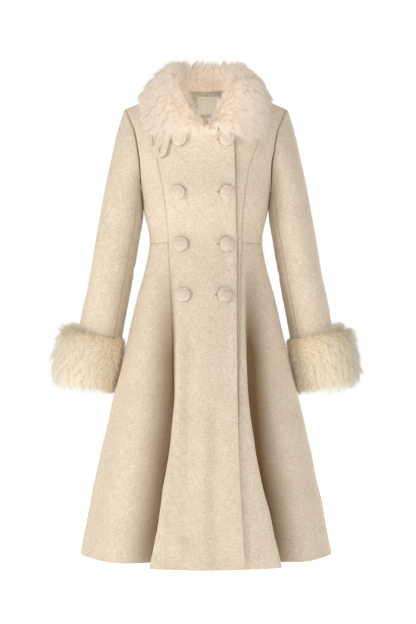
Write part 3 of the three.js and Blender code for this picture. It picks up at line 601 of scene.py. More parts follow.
def body_half(side, on_back):
    """Half of the front or back as rows of points and their painted shade, from the side seam to the inner
    edge.

    Below the armpits a row follows the section; above them it is a patch up to the shoulder and neck.
    """
    z = ROWS
    if on_back:
        inner = side * 180 + 0 * z
        columns = (BACK_SIDE_COLUMNS, BACK_CENTRE_COLUMNS)
        arm_line = line_to_shoulder(ARM_LINE["back"])

        def seam_x(height):
            return side * BACK_SEAM(height)

        def inner_line(v):
            height = ARMPIT_Z + (NECK_BACK_Z - ARMPIT_Z) * rise_at(v)
            return np.stack([0 * v, height], axis=-1)

    else:
        seam_x = FRONT["seam_right"] if side < 0 else FRONT["seam_left"]
        edge_x = FRONT["edge"] if side < 0 else FRONT["under_edge"]
        inner = angle_at(edge_x(z), z)
        columns = (SIDE_COLUMNS, CENTRE_COLUMNS)
        arm_line = line_to_shoulder(ARM_LINE["front"])

        def inner_line(v):
            height = ARMPIT_Z + (OVERLAP_TOP_Z - ARMPIT_Z) * rise_at(v)
            return np.stack([side * edge_x(height), height], axis=-1)

    seam = angle_at(seam_x(z), z, on_back)
    side_angles, side_shares = share_out(side * 90 + 0 * z, seam, z, columns[0])
    centre_angles, centre_shares = share_out(seam, inner, z, columns[1])
    angles = np.concatenate([side_angles, centre_angles[:, 1:]], axis=1)
    lower = lower_point(angles, z[:, None])
    base = np.stack([side * lower[-1, :, 0], lower[-1, :, 2]], axis=-1)
    princess = line_to_shoulder(lambda height: np.clip(side * seam_x(height), 0, PRINCESS_TOP_X))

    u, w = side_shares[-1], centre_shares[-1].copy()
    side_top = on_shoulder(SHOULDER_HALF, PRINCESS_TOP_X, u)
    corner = BACK_CORNER if on_back else FRONT_CORNER
    w[np.argmin(np.abs(w - corner))] = corner
    centre_top = on_shoulder(PRINCESS_TOP_X, NECK_HALF, np.clip(w / corner, 0, 1))
    if on_back:
        neck = np.stack(neck_back(np.clip((w - corner) / (1 - corner), 0, 1)), axis=-1)
    else:
        w[np.argmin(np.abs(w - FRONT_NECK_END))] = FRONT_NECK_END
        neck = np.stack(neck_front(np.clip((w - corner) / (FRONT_NECK_END - corner), 0, 1)), axis=-1)
        t = np.clip((w - FRONT_NECK_END) / (1 - FRONT_NECK_END), 0, 1)
        overlap_x = t * side * float(edge_x(OVERLAP_TOP_Z))
        overlap = np.stack([overlap_x, NECK_FRONT_Z + (OVERLAP_TOP_Z - NECK_FRONT_Z) * t], axis=-1)
        neck = np.where((w > FRONT_NECK_END)[:, None], overlap, neck)
    centre_top = np.where((w > corner)[:, None], neck, centre_top)

    split = columns[0] - 1
    side_patch = patch(base[: split + 1], side_top, arm_line, princess, u, CHEST_STEPS)
    centre_patch = patch(base[split:], centre_top, princess, inner_line, centre_shares[-1], CHEST_STEPS)
    places = np.concatenate([side_patch, centre_patch[:, 1:]], axis=1)
    upper = upper_point(side * places[..., 0], places[..., 1], on_back)
    shade = np.concatenate([skirt_folds(angles, z[:, None])[1], np.zeros(places.shape[:2])])
    return np.concatenate([lower, upper]), shade


def grid_normals(points, turn):
    """Normals of a grid: the cross product of its slopes along its rows and columns."""
    across = np.gradient(points, axis=1)
    up = np.gradient(points, axis=0)
    return unit(np.cross(across, up)) * turn


def trough(away, width, depth):
    """Section of a crease: a soft trough with a low ridge on each side."""
    t = (away / width) ** 2
    return -depth * (1 - 0.55 * t) * np.exp(-t)


def crease_heights(place, creases):
    """Sum of the creases at 2D places, each by the distance to its line and growing from its first end."""
    height = np.zeros(place.shape[:-1])
    for x0, z0, x1, z1, width, depth in zip(*creases.values()):
        start, run = np.array([x0, z0]), np.array([x1 - x0, z1 - z0])
        along = np.clip((place - start) @ run / (run @ run), 0, 1)
        away = np.linalg.norm(place - start - along[..., None] * run, axis=-1)
        height += trough(away, width * (0.75 + 0.5 * along), depth * smoothstep(along, -0.12, 0.5))
    return height


def soft_waves(points):
    """Slight unevenness of hanging cloth: products of long sine waves of the place."""
    x, y, z = np.moveaxis(points, -1, 0)
    slow = np.sin(x / 23 + 1.4 * np.sin(z / 61)) * np.sin(z / 37 + y / 29 + 0.8)
    quick = np.sin(x / 9.5 + z / 31) * np.sin(z / 13.5 - y / 17)
    return 0.42 * slow + 0.1 * quick


def body_relief(points, strength):
    """Creases and slight waves of the body's cloth, in the same measure on both sides of each seam."""
    place = points[..., [0, 2]]
    front_share = smoothstep(points[..., 1], 30, -30)
    relief = front_share * crease_heights(place, FRONT_CREASES)
    relief += (1 - front_share) * crease_heights(place, BACK_CREASES)
    over_skirt = 1 + 1.6 * smoothstep(points[..., 2], -420, -1000)
    return strength * (relief + soft_waves(points) * over_skirt)


def distances_in(points, axis):
    """Distances along a grid's rows or columns from its first and from its last point."""
    steps = np.linalg.norm(np.diff(points, axis=axis), axis=-1)
    start = np.zeros_like(np.take(points[..., 0], [0], axis=axis))
    walked = np.concatenate([start, np.cumsum(steps, axis=axis)], axis=axis)
    return walked, np.take(walked, [-1], axis=axis) - walked


def seam_profile(distance, depth):
    """Across a seam: the edge sinks in as a bell curve, and the allowance pressed open lifts a low band."""
    allowance = 0.28 * smoothstep(distance, 1, 4) * smoothstep(distance, 15, 9)
    return allowance - depth * np.exp(-((distance / 1.7) ** 2))


def edge_profile(distance):
    """Across a finished edge: it is rounded off over its last millimetre."""
    return -0.9 * np.exp(-((distance / 1.0) ** 2))


# Meshes


def quads(a, b, c, d):
    """Four-sided faces from four arrays that hold their corners in turn."""
    return np.stack([a, b, c, d], axis=-1).reshape(-1, 4)


def cell_corners(grid):
    """The four corners of each cell of a grid, of its points or their numbers, in the order of quads."""
    return grid[:-1, :-1], grid[:-1, 1:], grid[1:, 1:], grid[1:, :-1]


def shell_faces(rows, columns, turn, closed=False):
    """Four-sided faces of an outer grid, of the inner grid that follows it, and of the rims between them.

    The last row of a closed grid meets its first one.
    """
    n = rows * columns
    i = np.arange(n).reshape(rows, columns)
    if closed:
        i = np.concatenate([i, i[:1]])

    def rim(line):
        return quads(line[:-1], line[1:], line[1:] + n, line[:-1] + n)

    a, b, c, d = cell_corners(i)
    faces = [quads(a, b, c, d), quads(a, d, c, b) + n]
    if not closed:
        faces += [rim(i[0])[:, ::-1], rim(i[-1])]
    faces += [rim(i[:, 0]), rim(i[:, -1])[:, ::-1]]
    faces = np.concatenate(faces)
    return faces if turn > 0 else faces[:, ::-1]


def ring_faces(rows, columns, close_rows):
    """Four-sided faces of a grid that is closed across its columns, and along its rows if asked."""
    i = np.arange(rows * columns).reshape(rows, columns)
    i = np.concatenate([i, i[:, :1]], axis=1)
    if close_rows:
        i = np.concatenate([i, i[:1]])
    return quads(*cell_corners(i))


def new_piece(name, points, corners, material, sizes=None, uv=None, values=None, normals=None):
    """A smooth-shaded mesh object from points in millimetres and its faces' corners, one after another.

    sizes holds each face's number of corners, where they aren't all four, uv a pair in metres for each point,
    values named numbers for each, and normals its shading direction.
    """
    if sizes is None:
        sizes = np.full(corners.size // 4, 4)
    mesh = bpy.data.meshes.new(name)
    points = np.ascontiguousarray(points.reshape(-1, 3) * MM, dtype=np.float32)
    corners = np.ascontiguousarray(corners.ravel(), dtype=np.int32)
    sizes = np.ascontiguousarray(sizes, dtype=np.int32)
    mesh.vertices.add(len(points))
    mesh.vertices.foreach_set("co", points.ravel())
    mesh.loops.add(len(corners))
    mesh.loops.foreach_set("vertex_index", corners)
    mesh.polygons.add(len(sizes))
    starts = np.concatenate([[0], np.cumsum(sizes)[:-1]]).astype(np.int32)
    mesh.polygons.foreach_set("loop_start", starts)
    mesh.polygons.foreach_set("use_smooth", np.ones(len(sizes), dtype=bool))
    if uv is not None:
        layer = mesh.uv_layers.new(name="cloth")
        layer.data.foreach_set("uv", uv.reshape(-1, 2)[corners].astype(np.float32).ravel())
    for key, numbers in (values or {}).items():
        attribute = mesh.attributes.new(key, "FLOAT", "POINT")
        attribute.data.foreach_set("value", np.ascontiguousarray(numbers.ravel(), dtype=np.float32))
    mesh.materials.append(material)
    mesh.update(calc_edges=True)
    if mesh.validate():
        raise RuntimeError(f"{name} had faces that are no use")
    if normals is not None:
        mesh.normals_split_custom_set_from_vertices(normals.reshape(-1, 3))
    piece = bpy.data.objects.new(name, mesh)
    bpy.context.collection.objects.link(piece)
    return piece


def carry(piece, node=None):
    """The piece rides on the coat's one body, and stands for its CAD node where it has one."""
    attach(piece, "root")
    if node:
        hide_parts(node)


def trim_edges(points):
    """Draws the four edges of a grid in by half a seam's gap."""
    points = points.copy()

    def pull(edge, towards):
        return edge + unit(towards - edge) * SEAM_GAP / 2

    points[0], points[-1] = pull(points[0], points[1]), pull(points[-1], points[-2])
    points[:, 0], points[:, -1] = pull(points[:, 0], points[:, 1]), pull(points[:, -1], points[:, -2])
    return points


def cloth_panel(name, points, normals, turn, material, sewn, relief, shade, lift=0.0):
    """A wall of cloth on a grid: the outer side carries the relief and the edges' profiles.

    sewn tells for the start and end column and the first and last row how deep a seam lies there, as a share,
    or 0 at a finished edge.
    """
    settings = bpy.context.scene.coat
    across_start, across_end = distances_in(points, 1)
    up_start, up_end = distances_in(points, 0)
    height = relief + lift
    for distance, is_sewn in zip((across_start, across_end, up_start, up_end), sewn):
        depth = settings.seam_depth / MM * is_sewn
        height = height + (seam_profile(distance, depth) if is_sewn else edge_profile(distance))
        # Painted shade along the groove of each sewn seam
        shade = shade + is_sewn * SEAM_SHADE * np.exp(-((distance / SEAM_SHADE_WIDTH) ** 2))
    outer = points + normals * height[..., None]
    inner = points + normals * (relief + lift - settings.cloth_thickness / MM)[..., None]
    outer, inner = trim_edges(outer), trim_edges(inner)
    rows, columns = points.shape[:2]
    faces = shell_faces(rows, columns, turn)
    flat = np.stack([across_start, up_start], axis=-1) * MM
    uv = np.stack([flat, flat])
    values = {"shade": np.stack([shade, shade])}
    piece = new_piece(f"{name}_cloth", np.stack([outer, inner]), faces, material, uv=uv, values=values)
    carry(piece, name)
    declare_cut(points, across_end[:, 0].max(), up_end[0].max())
    return piece


def declare_cut(points, width, length):
    """Its area is the sum of the grid's cells, each half the cross product of its diagonals.
    """
    a, b, c, d = cell_corners(points)
    area = np.linalg.norm(np.cross(c - a, d - b), axis=-1).sum() / 2
    area = np.clip(area, 0.31 * width * length, 0.99 * width * length)


# Materials


def linear(hex_colour):
    """An sRGB hex colour as the linear values that shaders take."""
    srgb = np.array([int(hex_colour[i : i + 2], 16) for i in (1, 3, 5)]) / 255
    values = np.where(srgb <= 0.04045, srgb / 12.92, ((srgb + 0.055) / 1.055) ** 2.4)
    return (*(float(v) for v in values), 1.0)


def add_node(owner, kind, inputs=None, **settings):
    """A node with its settings, and its inputs by name or number, each a value or another node's output."""
    tree = owner.node_tree
    node = tree.nodes.new(kind)
    for key, value in settings.items():
        setattr(node, key, value)
    for key, value in (inputs or {}).items():
        if isinstance(value, bpy.types.NodeSocket):
            tree.links.new(value, node.inputs[key])
        else:
            node.inputs[key].default_value = value
    return node


def empty_material(name):
    """A material whose nodes are still to come."""
    material = bpy.data.materials.new(name)
    material.use_nodes = True
    material.node_tree.nodes.clear()
    return material


def finish_material(material, inputs):
    """Ends a material in one Principled shader, whose constant values are set on its own sockets."""
    shader = add_node(material, "ShaderNodeBsdfPrincipled", inputs)
    add_node(material, "ShaderNodeOutputMaterial", {"Surface": shader.outputs["BSDF"]})
    return material


def speckle(material, coordinates, size_mm, low, high, detail=2.0, stretch=(1, 1, 1)):
    """A noise pattern whose grains are size_mm across, from 0 at the share low to 1 at the share high."""
    scale = tuple(1 / (size_mm * MM * s) for s in stretch)
    scaled = add_node(material, "ShaderNodeMapping", {"Vector": coordinates, "Scale": scale})
    grains = {"Vector": scaled.outputs[0], "Scale": 1.0, "Detail": detail}
    noise = add_node(material, "ShaderNodeTexNoise", grains, noise_dimensions="3D")
    ends = {"Value": noise.outputs["Fac"], "From Min": low, "From Max": high}
    return add_node(material, "ShaderNodeMapRange", ends).outputs[0]


def layered(material, colour, *layers):
    """A colour with others laid over it in turn, each by its pattern times a share."""
    for pattern, share, tint in layers:
        factor = add_node(material, "ShaderNodeMath", {0: pattern, 1: share}, operation="MULTIPLY")
        # Sockets 0, 6 and 7 of a Mix node are its factor and two colours, and 2 is the mixed colour
        inputs = {0: factor.outputs[0], 6: colour, 7: tint}
        colour = add_node(material, "ShaderNodeMix", inputs, data_type="RGBA").outputs[2]
    return colour


def wool_melton(name, colours, fleck_mm=2.6, relief_mm=0.35, sheen=0.25):
    """Heathered wool coating, woven, fulled and lightly brushed: light and dark fibres and a faint weave.

    It gives the eye a matt, mottled beige with a soft bright edge, and no gloss. Real flecks are about 1 mm
    and yarns 0.7 mm across, too fine for the render, so both are drawn more than twice as coarse.
    """
    material = empty_material(name)
    base, dark, light, warm = colours
    place = add_node(material, "ShaderNodeTexCoord").outputs["Object"]
    cloth = add_node(material, "ShaderNodeUVMap", uv_map="cloth").outputs["UV"]
    flecks = speckle(material, place, fleck_mm, 0.42, 0.66, 3.0)
    pale = speckle(material, place, fleck_mm * 1.35, 0.5, 0.7)
    blotches = speckle(material, place, 15, 0.35, 0.7)
    broad = speckle(material, place, 70, 0.3, 0.7)
    warp = speckle(material, cloth, YARN_MM, 0.36, 0.68, 2.0, (1, YARN_STRETCH, 1))
    weft = speckle(material, cloth, YARN_MM, 0.36, 0.68, 2.0, (YARN_STRETCH, 1, 1))
    # Painted shade: the attribute shade darkens the colour where shadow falls, in the skirt's folds, along
    # seams, beside the free front edge, on the sleeves' inner sides and on the buttons
    shade = add_node(material, "ShaderNodeAttribute", attribute_name="shade").outputs["Fac"]
    colour = layered(
        material,
        base,
        (blotches, 1.0, warm),
        (flecks, 0.42, dark),
        (pale, 0.48, light),
        (warp, 0.32, dark),
        (weft, 0.32, light),
        (broad, 0.12, dark),
        # the painted shade's dark brown
        (shade, 0.9, linear("#7C5F3E")),
    )
    height = flecks
    for yarn in (warp, weft):
        height = add_node(material, "ShaderNodeMath", {0: height, 1: yarn}, operation="ADD").outputs[0]
    relief = {"Height": height, "Strength": 0.55, "Distance": relief_mm * MM}
    inputs = {
        "Base Color": colour,
        "Roughness": 0.92,
        "Specular IOR Level": 0.18,
        "Sheen Weight": sheen,
        "Sheen Roughness": 0.55,
        "Sheen Tint": linear("#FFF6EA"),
        "Normal": add_node(material, "ShaderNodeBump", relief).outputs[0],
    }
    return finish_material(material, inputs)


def long_fur(name, root, middle, tip):
    """Long dyed fur: hairs that are darker and warmer near the skin and pale and silky at their tips.

    The dark roots are partly the fur's own colour and partly painted shade, as the hairs cast no shadows. So
    it gives the eye soft pale locks with warm painted shadows between them.
    """
    material = empty_material(name)
    height = add_node(material, "ShaderNodeAttribute", attribute_name="hair_height").outputs["Fac"]
    tint = add_node(material, "ShaderNodeAttribute", attribute_name="hair_tint").outputs["Fac"]
    ramp = add_node(material, "ShaderNodeValToRGB", {"Fac": height})
    stops = ramp.color_ramp.elements
    stops[0].color = root
    stops[1].color = tip
    stops[1].position = 0.85
    stops.new(0.4).color = middle
    inputs = {
        "Base Color": layered(material, ramp.outputs["Color"], (tint, 0.5, middle)),
        "Roughness": 0.6,
        "Specular IOR Level": 0.25,
        "Sheen Weight": 0.3,
        "Sheen Roughness": 0.4,
        "Sheen Tint": linear("#FFF4E8"),
    }
    return finish_material(material, inputs)


def fur_skin(name, dark, light):
    """The short dense underfur at the skin, seen only between the long hairs: soft, matt and mottled."""
    material = empty_material(name)
    place = add_node(material, "ShaderNodeTexCoord").outputs["Object"]
    tufts = speckle(material, place, 4.5, 0.35, 0.65, 3.0)
    relief = {"Height": tufts, "Strength": 0.8, "Distance": 1.5 * MM}
    inputs = {
        "Base Color": layered(material, linear(dark), (tufts, 1.0, linear(light))),
        "Roughness": 0.9,
        "Specular IOR Level": 0.1,
        "Normal": add_node(material, "ShaderNodeBump", relief).outputs[0],
    }
    return finish_material(material, inputs)


def woven_label(name, colour):
    """Plain woven polyester label: fine even ribs and a soft satin face. It is bare.

    Real ribs are about 0.3 mm apart. They are drawn three times as coarse, so that they can show.
    """
    material = empty_material(name)
    cloth = add_node(material, "ShaderNodeUVMap", uv_map="cloth").outputs["UV"]
    ribs = speckle(material, cloth, 0.9, 0.4, 0.6, 1.0, (12, 1, 1))
    relief = {"Height": ribs, "Strength": 0.4, "Distance": 0.15 * MM}
    inputs = {
        "Base Color": layered(material, colour, (ribs, 0.5, linear("#F3ECDB"))),
        "Roughness": 0.6,
        "Specular IOR Level": 0.35,
        "Normal": add_node(material, "ShaderNodeBump", relief).outputs[0],
    }
    return finish_material(material, inputs)


def sewing_thread(name, colour):
    """Polyester sewing thread: a slight gloss on each rounded stitch, whose own shape gives the twist. In a
    dark colour the same shader also makes the painted shadow in a buttonhole's slot.
    """
    inputs = {"Base Color": linear(colour), "Roughness": 0.5, "Specular IOR Level": 0.4}
    return finish_material(empty_material(name), inputs)


def coat_wool():
    """The wool that all panels share, made when the first of them asks for it."""
    colours = bpy.context.scene.coat_colours
    blend = (colours.wool, colours.wool_dark, colours.wool_light, colours.wool_warm)
    return bpy.data.materials.get(WOOL_NAME) or wool_melton(WOOL_NAME, blend)


# Body


def front_edge_x(z):
    """X of the top front's free edge, which the skirt's folds carry outwards."""
    edge = FRONT["edge"](z)
    low = np.minimum(z, ARMPIT_Z)
    return np.where(z < ARMPIT_Z, lower_point(angle_at(edge, low), low)[..., 0], edge)


def overlap_lift(points, seam_x):
    """The right front lies on the left one: it rises from its seams to two layers and curls at its edge."""
    from_shoulder = smoothstep(shoulder_z(points[..., 0]) - points[..., 2], 10, 80)
    target = FRONT["under_edge"](points[..., 2]) - 4
    from_edge = front_edge_x(points[..., 2]) - points[..., 0]
    beside_edge = np.exp(-((np.maximum(from_edge, 0) / EDGE_CURL_WIDTH) ** 2))
    curl = EDGE_CURL * beside_edge * smoothstep(points[..., 2], -60, -140)
    return (CLOTH + LAYER_GAP) * from_shoulder * smoothstep(points[..., 0], seam_x, target) + curl


def with_seam_normals(points, turn, ridge_columns, seam_columns):
    """Normals that stay level with the neighbouring half's across the side and shoulder seams."""
    normals = grid_normals(points, turn)
    for column in seam_columns:
        normals[: len(ROWS), column, 1] = 0
    normals[-1, ridge_columns, 1] = 0
    return unit(normals)


def neck_column(side_columns, centre_columns, corner):
    """Column of the corner of the neck and shoulder, at a share of the centre panel's top edge."""
    shares = spaced(TOP_EDGE, centre_columns) / TOP_EDGE
    return side_columns - 1 + int(np.argmin(np.abs(shares - corner)))


def front_half(side):
    """Half of the front with its normals, relief, painted shade and the side that its faces turn to."""
    points, shade = body_half(side, False)
    turn = -side
    neck = neck_column(SIDE_COLUMNS, CENTRE_COLUMNS, FRONT_CORNER)
    normals = with_seam_normals(points, turn, slice(0, neck + 1), [0])
    relief = body_relief(points, bpy.context.scene.coat.crease_strength)
    return points, normals, relief, shade, turn


def back_whole():
    """The whole back with its normals, relief and painted shade: both halves, joined at the centre column."""
    (right, right_shade), (left, left_shade) = body_half(-1, True), body_half(1, True)
    points = np.concatenate([right, left[:, -2::-1]], axis=1)
    shade = np.concatenate([right_shade, left_shade[:, -2::-1]], axis=1)
    width = points.shape[1]
    neck = neck_column(BACK_SIDE_COLUMNS, BACK_CENTRE_COLUMNS, BACK_CORNER)
    ridge = np.r_[0 : neck + 1, width - 1 - neck : width]
    normals = with_seam_normals(points, -1, ridge, [0, width - 1])
    relief = body_relief(points, bpy.context.scene.coat.crease_strength)
    return points, normals, relief, shade


def chest_place(x, z, height):
    """Points on the right front's top layer at x and z, moved out by height along the cloth's normal."""
    x, z, height = np.broadcast_arrays(*(np.asarray(v, dtype=float) for v in (x, z, height)))
    chest = (z > ARMPIT_Z)[..., None]

    def at(dx, dz):
        below = lower_point(angle_at(x + dx, z + dz), z + dz)
        return np.where(chest, upper_point(x + dx, z + dz, False), below)

    middle = at(0, 0)
    step = 1.5
    normal = unit(np.cross(at(step, 0) - at(-step, 0), at(0, step) - at(0, -step)))
    relief = body_relief(middle, bpy.context.scene.coat.crease_strength)
    lift = overlap_lift(middle, FRONT["seam_right"](z)) + relief
    return middle + normal * (lift + height)[..., None], normal


class COAT_OT_fronts(bpy.types.Operator):
    """Make the two overlapping front panels, the right one on top with its rounded bottom corner"""

    bl_idname = "coat.fronts"
    bl_label = "Fronts"

    def execute(self, context):
        wool = coat_wool()
        for side, word in ((-1, "right"), (1, "left")):
            points, normals, relief, shade, turn = front_half(side)
            part = np.s_[:, SIDE_COLUMNS - 1 :]
            points, normals, relief, shade = points[part], normals[part], relief[part], shade[part]
            lift = 0.0
            if side > 0:
                # Painted shadow of the top front's free edge on this under layer, close beside the edge
                past_edge = np.maximum(points[..., 0] - front_edge_x(points[..., 2]), 0)
                shade = shade + EDGE_SHADE * np.exp(-((past_edge / EDGE_SHADE_WIDTH) ** 2))
            if side < 0:
                lift = overlap_lift(points, points[:, :1, 0])
                into = np.clip(1 - distances_in(points, 1)[1] / CORNER_RADIUS, 0, 1)
                near_hem = np.clip(1 - (points[..., 2] - HEM_Z) / CORNER_REACH, 0, 1)
                rise = CORNER_RADIUS * (1 - np.cos(np.pi / 2 * into)) * near_hem
                drawn_in = CORNER_RADIUS * (np.sin(np.pi / 2 * into) - into) * near_hem
                points = points + unit(np.gradient(points, axis=1)) * drawn_in[..., None]
                points[..., 2] += rise
            sewn = (1, 0, 0, 1)
            cloth_panel(f"{word}_front_centre", points, normals, turn, wool, sewn, relief, shade, lift)
        return {"FINISHED"}


class COAT_OT_side_panels(bpy.types.Operator):
    """Make the front side panels, each a bodice and a skirt with the waist seam between them"""

    bl_idname = "coat.side_panels"
    bl_label = "Front side panels"

    def execute(self, context):
        wool = coat_wool()
        for side, word in ((-1, "right"), (1, "left")):
            points, normals, relief, shade, turn = front_half(side)
            for half, rows, sewn in (
                ("skirt", slice(0, WAIST_ROW + 1), (1, 1, 0, 0.5)),
                ("bodice", slice(WAIST_ROW, None), (1, 1, 0.5, 1)),
            ):
                part = (rows, slice(0, SIDE_COLUMNS))
                pieces = points[part], normals[part], turn, wool, sewn, relief[part], shade[part]
                cloth_panel(f"{word}_front_side_{half}", *pieces)
        return {"FINISHED"}


class COAT_OT_back(bpy.types.Operator):
    """Make the back: one centre panel, and a bodice and a skirt on each side"""

    bl_idname = "coat.back"
    bl_label = "Back"

    def execute(self, context):
        wool = coat_wool()
        points, normals, relief, shade = back_whole()
        end = points.shape[1] - 1
        seam = BACK_SIDE_COLUMNS - 1
        parts = {"back_centre": (slice(None), slice(seam, end - seam + 1), (1, 1, 0, 1))}
        for word, columns in (("right", slice(0, seam + 1)), ("left", slice(end - seam, end + 1))):
            parts[f"{word}_back_side_skirt"] = (slice(0, WAIST_ROW + 1), columns, (1, 1, 0, 0.5))
            parts[f"{word}_back_side_bodice"] = (slice(WAIST_ROW, None), columns, (1, 1, 0.5, 1))
        for name, (rows, columns, sewn) in parts.items():
            part = (rows, columns)
            cloth_panel(name, points[part], normals[part], -1, wool, sewn, relief[part], shade[part])
        return {"FINISHED"}


# Sleeves


def sleeve_point(degrees, z):
    """A point of the left sleeve's tube: an ellipse at each height, 0 degrees outside and 90 in front."""
    turn = np.radians(degrees)
    outer, inner = ARM["outer"](z), ARM["inner"](z)
    x = (outer + inner) / 2 + (outer - inner) / 2 * np.cos(turn)
    y = ARM["middle_y"](z) - ARM["half_depth"](z) * np.sin(turn)
    return np.stack([x, y, z + 0 * x], axis=-1)


def sleeve_grid(degrees):
    """The left sleeve as rows of points from its mouth up to the armhole.

    The sleeve head is a cubic Bezier curve at each angle, from the armhole's edge out and down into the tube.
    It leaves the edge nearly upwards at the shoulder, and close along the body's side at the underarm.
    """
    in_front = degrees % 360 <= 180
    turn = np.radians(degrees)
    around = degrees % 360
    v = np.where(in_front, 1 - around / 180, (around - 180) / 180)
    edge_front = line_to_shoulder(ARM_LINE["front"])(v)
    edge_back = line_to_shoulder(ARM_LINE["back"])(v)
    start = np.where(
        in_front[:, None],
        upper_point(edge_front[:, 0], edge_front[:, 1], False),
        upper_point(edge_back[:, 0], edge_back[:, 1], True),
    )
    c, s = np.cos(turn), np.sin(turn)
    out = -3.2 + 7.6 * (1 + c) + 14 * s * s
    outward = np.stack([out, -8 * s, -20 + 8 * s * s + 2.5 * (1 - c)], axis=-1)
    seat = np.stack([0.1 + 0.35 * (1 + c), 0 * c, 0.6 * np.maximum(0, c)], axis=-1)
    start = start + unit(outward) * ARMHOLE_GAP + seat
    cap_z = BICEPS_Z + BICEPS_TILT * c
    end = sleeve_point(degrees, cap_z)
    up_arm = unit(end - sleeve_point(degrees, cap_z - 40)) * (14 + 56 * (1 + c) / 2)[:, None]
    t = (np.linspace(0, 1, CAP_ROWS) ** CAP_BEND)[:, None, None]
    controls = (start, start + outward, end + up_arm, end)
    weights = ((1 - t) ** 3, 3 * t * (1 - t) ** 2, 3 * t * t * (1 - t), t**3)
    cap = sum(weight * control for weight, control in zip(weights, controls))
    end_z = SLEEVE_END_Z + SLEEVE_END_TILT * c
    down = np.linspace(0, 1, ARM_ROWS)[1:, None]
    arm = sleeve_point(degrees[None, :] + 0 * down, cap_z + (end_z - cap_z) * down)
    return np.concatenate([cap, arm])[::-1]


def sleeve_relief(points, degrees, creases, strength):
    """Creases of one sleeve in its unrolled cloth, slight waves, and the eased fullness at its head."""
    place = np.stack([degrees * SLEEVE_GIRTH + 0 * points[..., 2], points[..., 2]], axis=-1)
    girth = 360 * SLEEVE_GIRTH
    flat = {**creases, "x0": creases["angle0"] * SLEEVE_GIRTH, "x1": creases["angle1"] * SLEEVE_GIRTH}
    flat = {key: flat[key] for key in ("x0", "z0", "x1", "z1", "width", "depth")}
    relief = sum(crease_heights(place + np.array([shift, 0]), flat) for shift in (-girth, 0, girth))
    _, from_armhole = distances_in(points, 0)
    high = smoothstep(np.cos(np.radians(degrees)), 0.1, 0.9)
    ease = 0.55 * np.sin(place[..., 0] / 3.1) * np.exp(-from_armhole / 9) * high
    return strength * (relief + 1.1 * soft_waves(points * np.array([1.3, 1.1, 0.9])) + ease)


class COAT_OT_sleeves(bpy.types.Operator):
    """Make the two-piece sleeves, with one seam at the front of the arm and one behind"""

    bl_idname = "coat.sleeves"
    bl_label = "Sleeves"

    def armhole_allowance(self, name, side, material):
        """The allowance behind the armhole seam: a thin ring under the edges of the sleeve and the body."""
        grid = sleeve_grid(np.linspace(0, 360, 121))
        normal = grid_normals(grid, -1)[-1, :-1, None]
        edge, along = grid[-1, :-1, None], unit(grid[-1] - grid[-3])[:-1, None]
        across = np.linspace(-5, 4, 5)[None, :, None]
        outer = edge + along * across - normal * (CLOTH + 0.6)
        points = np.stack([outer, outer - normal * 0.8]) * [side, 1, 1]
        faces = shell_faces(*outer.shape[:2], -1, closed=True)
        if not ring_points_outwards(points, faces, points.reshape(-1, 3).mean(axis=0)):
            faces = faces[:, ::-1]
        # The whole ring is painted with shade, as the dark seen through the armhole seam
        values = {"shade": np.full(points.shape[:3], 0.3)}
        uv = np.broadcast_to(across[..., :1] * MM, (2, *outer.shape[:2], 2))
        ring = new_piece(name, points, faces, material, uv=uv, values=values)
        carry(ring)

    def execute(self, context):
        wool = coat_wool()
        strength = context.scene.coat.crease_strength
        upper_span = FRONT_SLEEVE_SEAM + 360 - BACK_SLEEVE_SEAM
        under_span = BACK_SLEEVE_SEAM - FRONT_SLEEVE_SEAM
        upper = BACK_SLEEVE_SEAM + spaced(upper_span * SLEEVE_GIRTH, UPPER_SLEEVE_COLUMNS) / SLEEVE_GIRTH
        under = FRONT_SLEEVE_SEAM + spaced(under_span * SLEEVE_GIRTH, UNDER_SLEEVE_COLUMNS) / SLEEVE_GIRTH
        sides = ((-1, "right", RIGHT_SLEEVE_CREASES), (1, "left", LEFT_SLEEVE_CREASES))
        sewn = (1, 1, 0, 0.6)
        for side, word, creases in sides:
            for name, degrees in (("upper", upper), ("under", under)):
                points = sleeve_grid(degrees)
                relief = sleeve_relief(points, degrees, creases, strength)
                normals = grid_normals(points, -1)
                if side < 0:
                    points, normals = points * [-1, 1, 1], normals * [-1, 1, 1]
                # Painted shade on the sleeve's inner side, towards the body
                shade = 0.35 * smoothstep(-np.cos(np.radians(degrees)), 0.2, 1.0) + 0 * relief
                cloth_panel(f"{word}_{name}_sleeve", points, normals, -side, wool, sewn, relief, shade)
            self.armhole_allowance(f"{word}_armhole_allowance", side, wool)
        return {"FINISHED"}


# Buttons and small pieces


def frame_on_cloth(x, z):
    """A place on the chest with its normal and two directions in the cloth, across and up."""
    place, normal = chest_place(x, z, 0.0)
    across = unit(np.array([1.0, 0, 0]) - normal * normal[0])
    return place, normal, across, np.cross(normal, across)


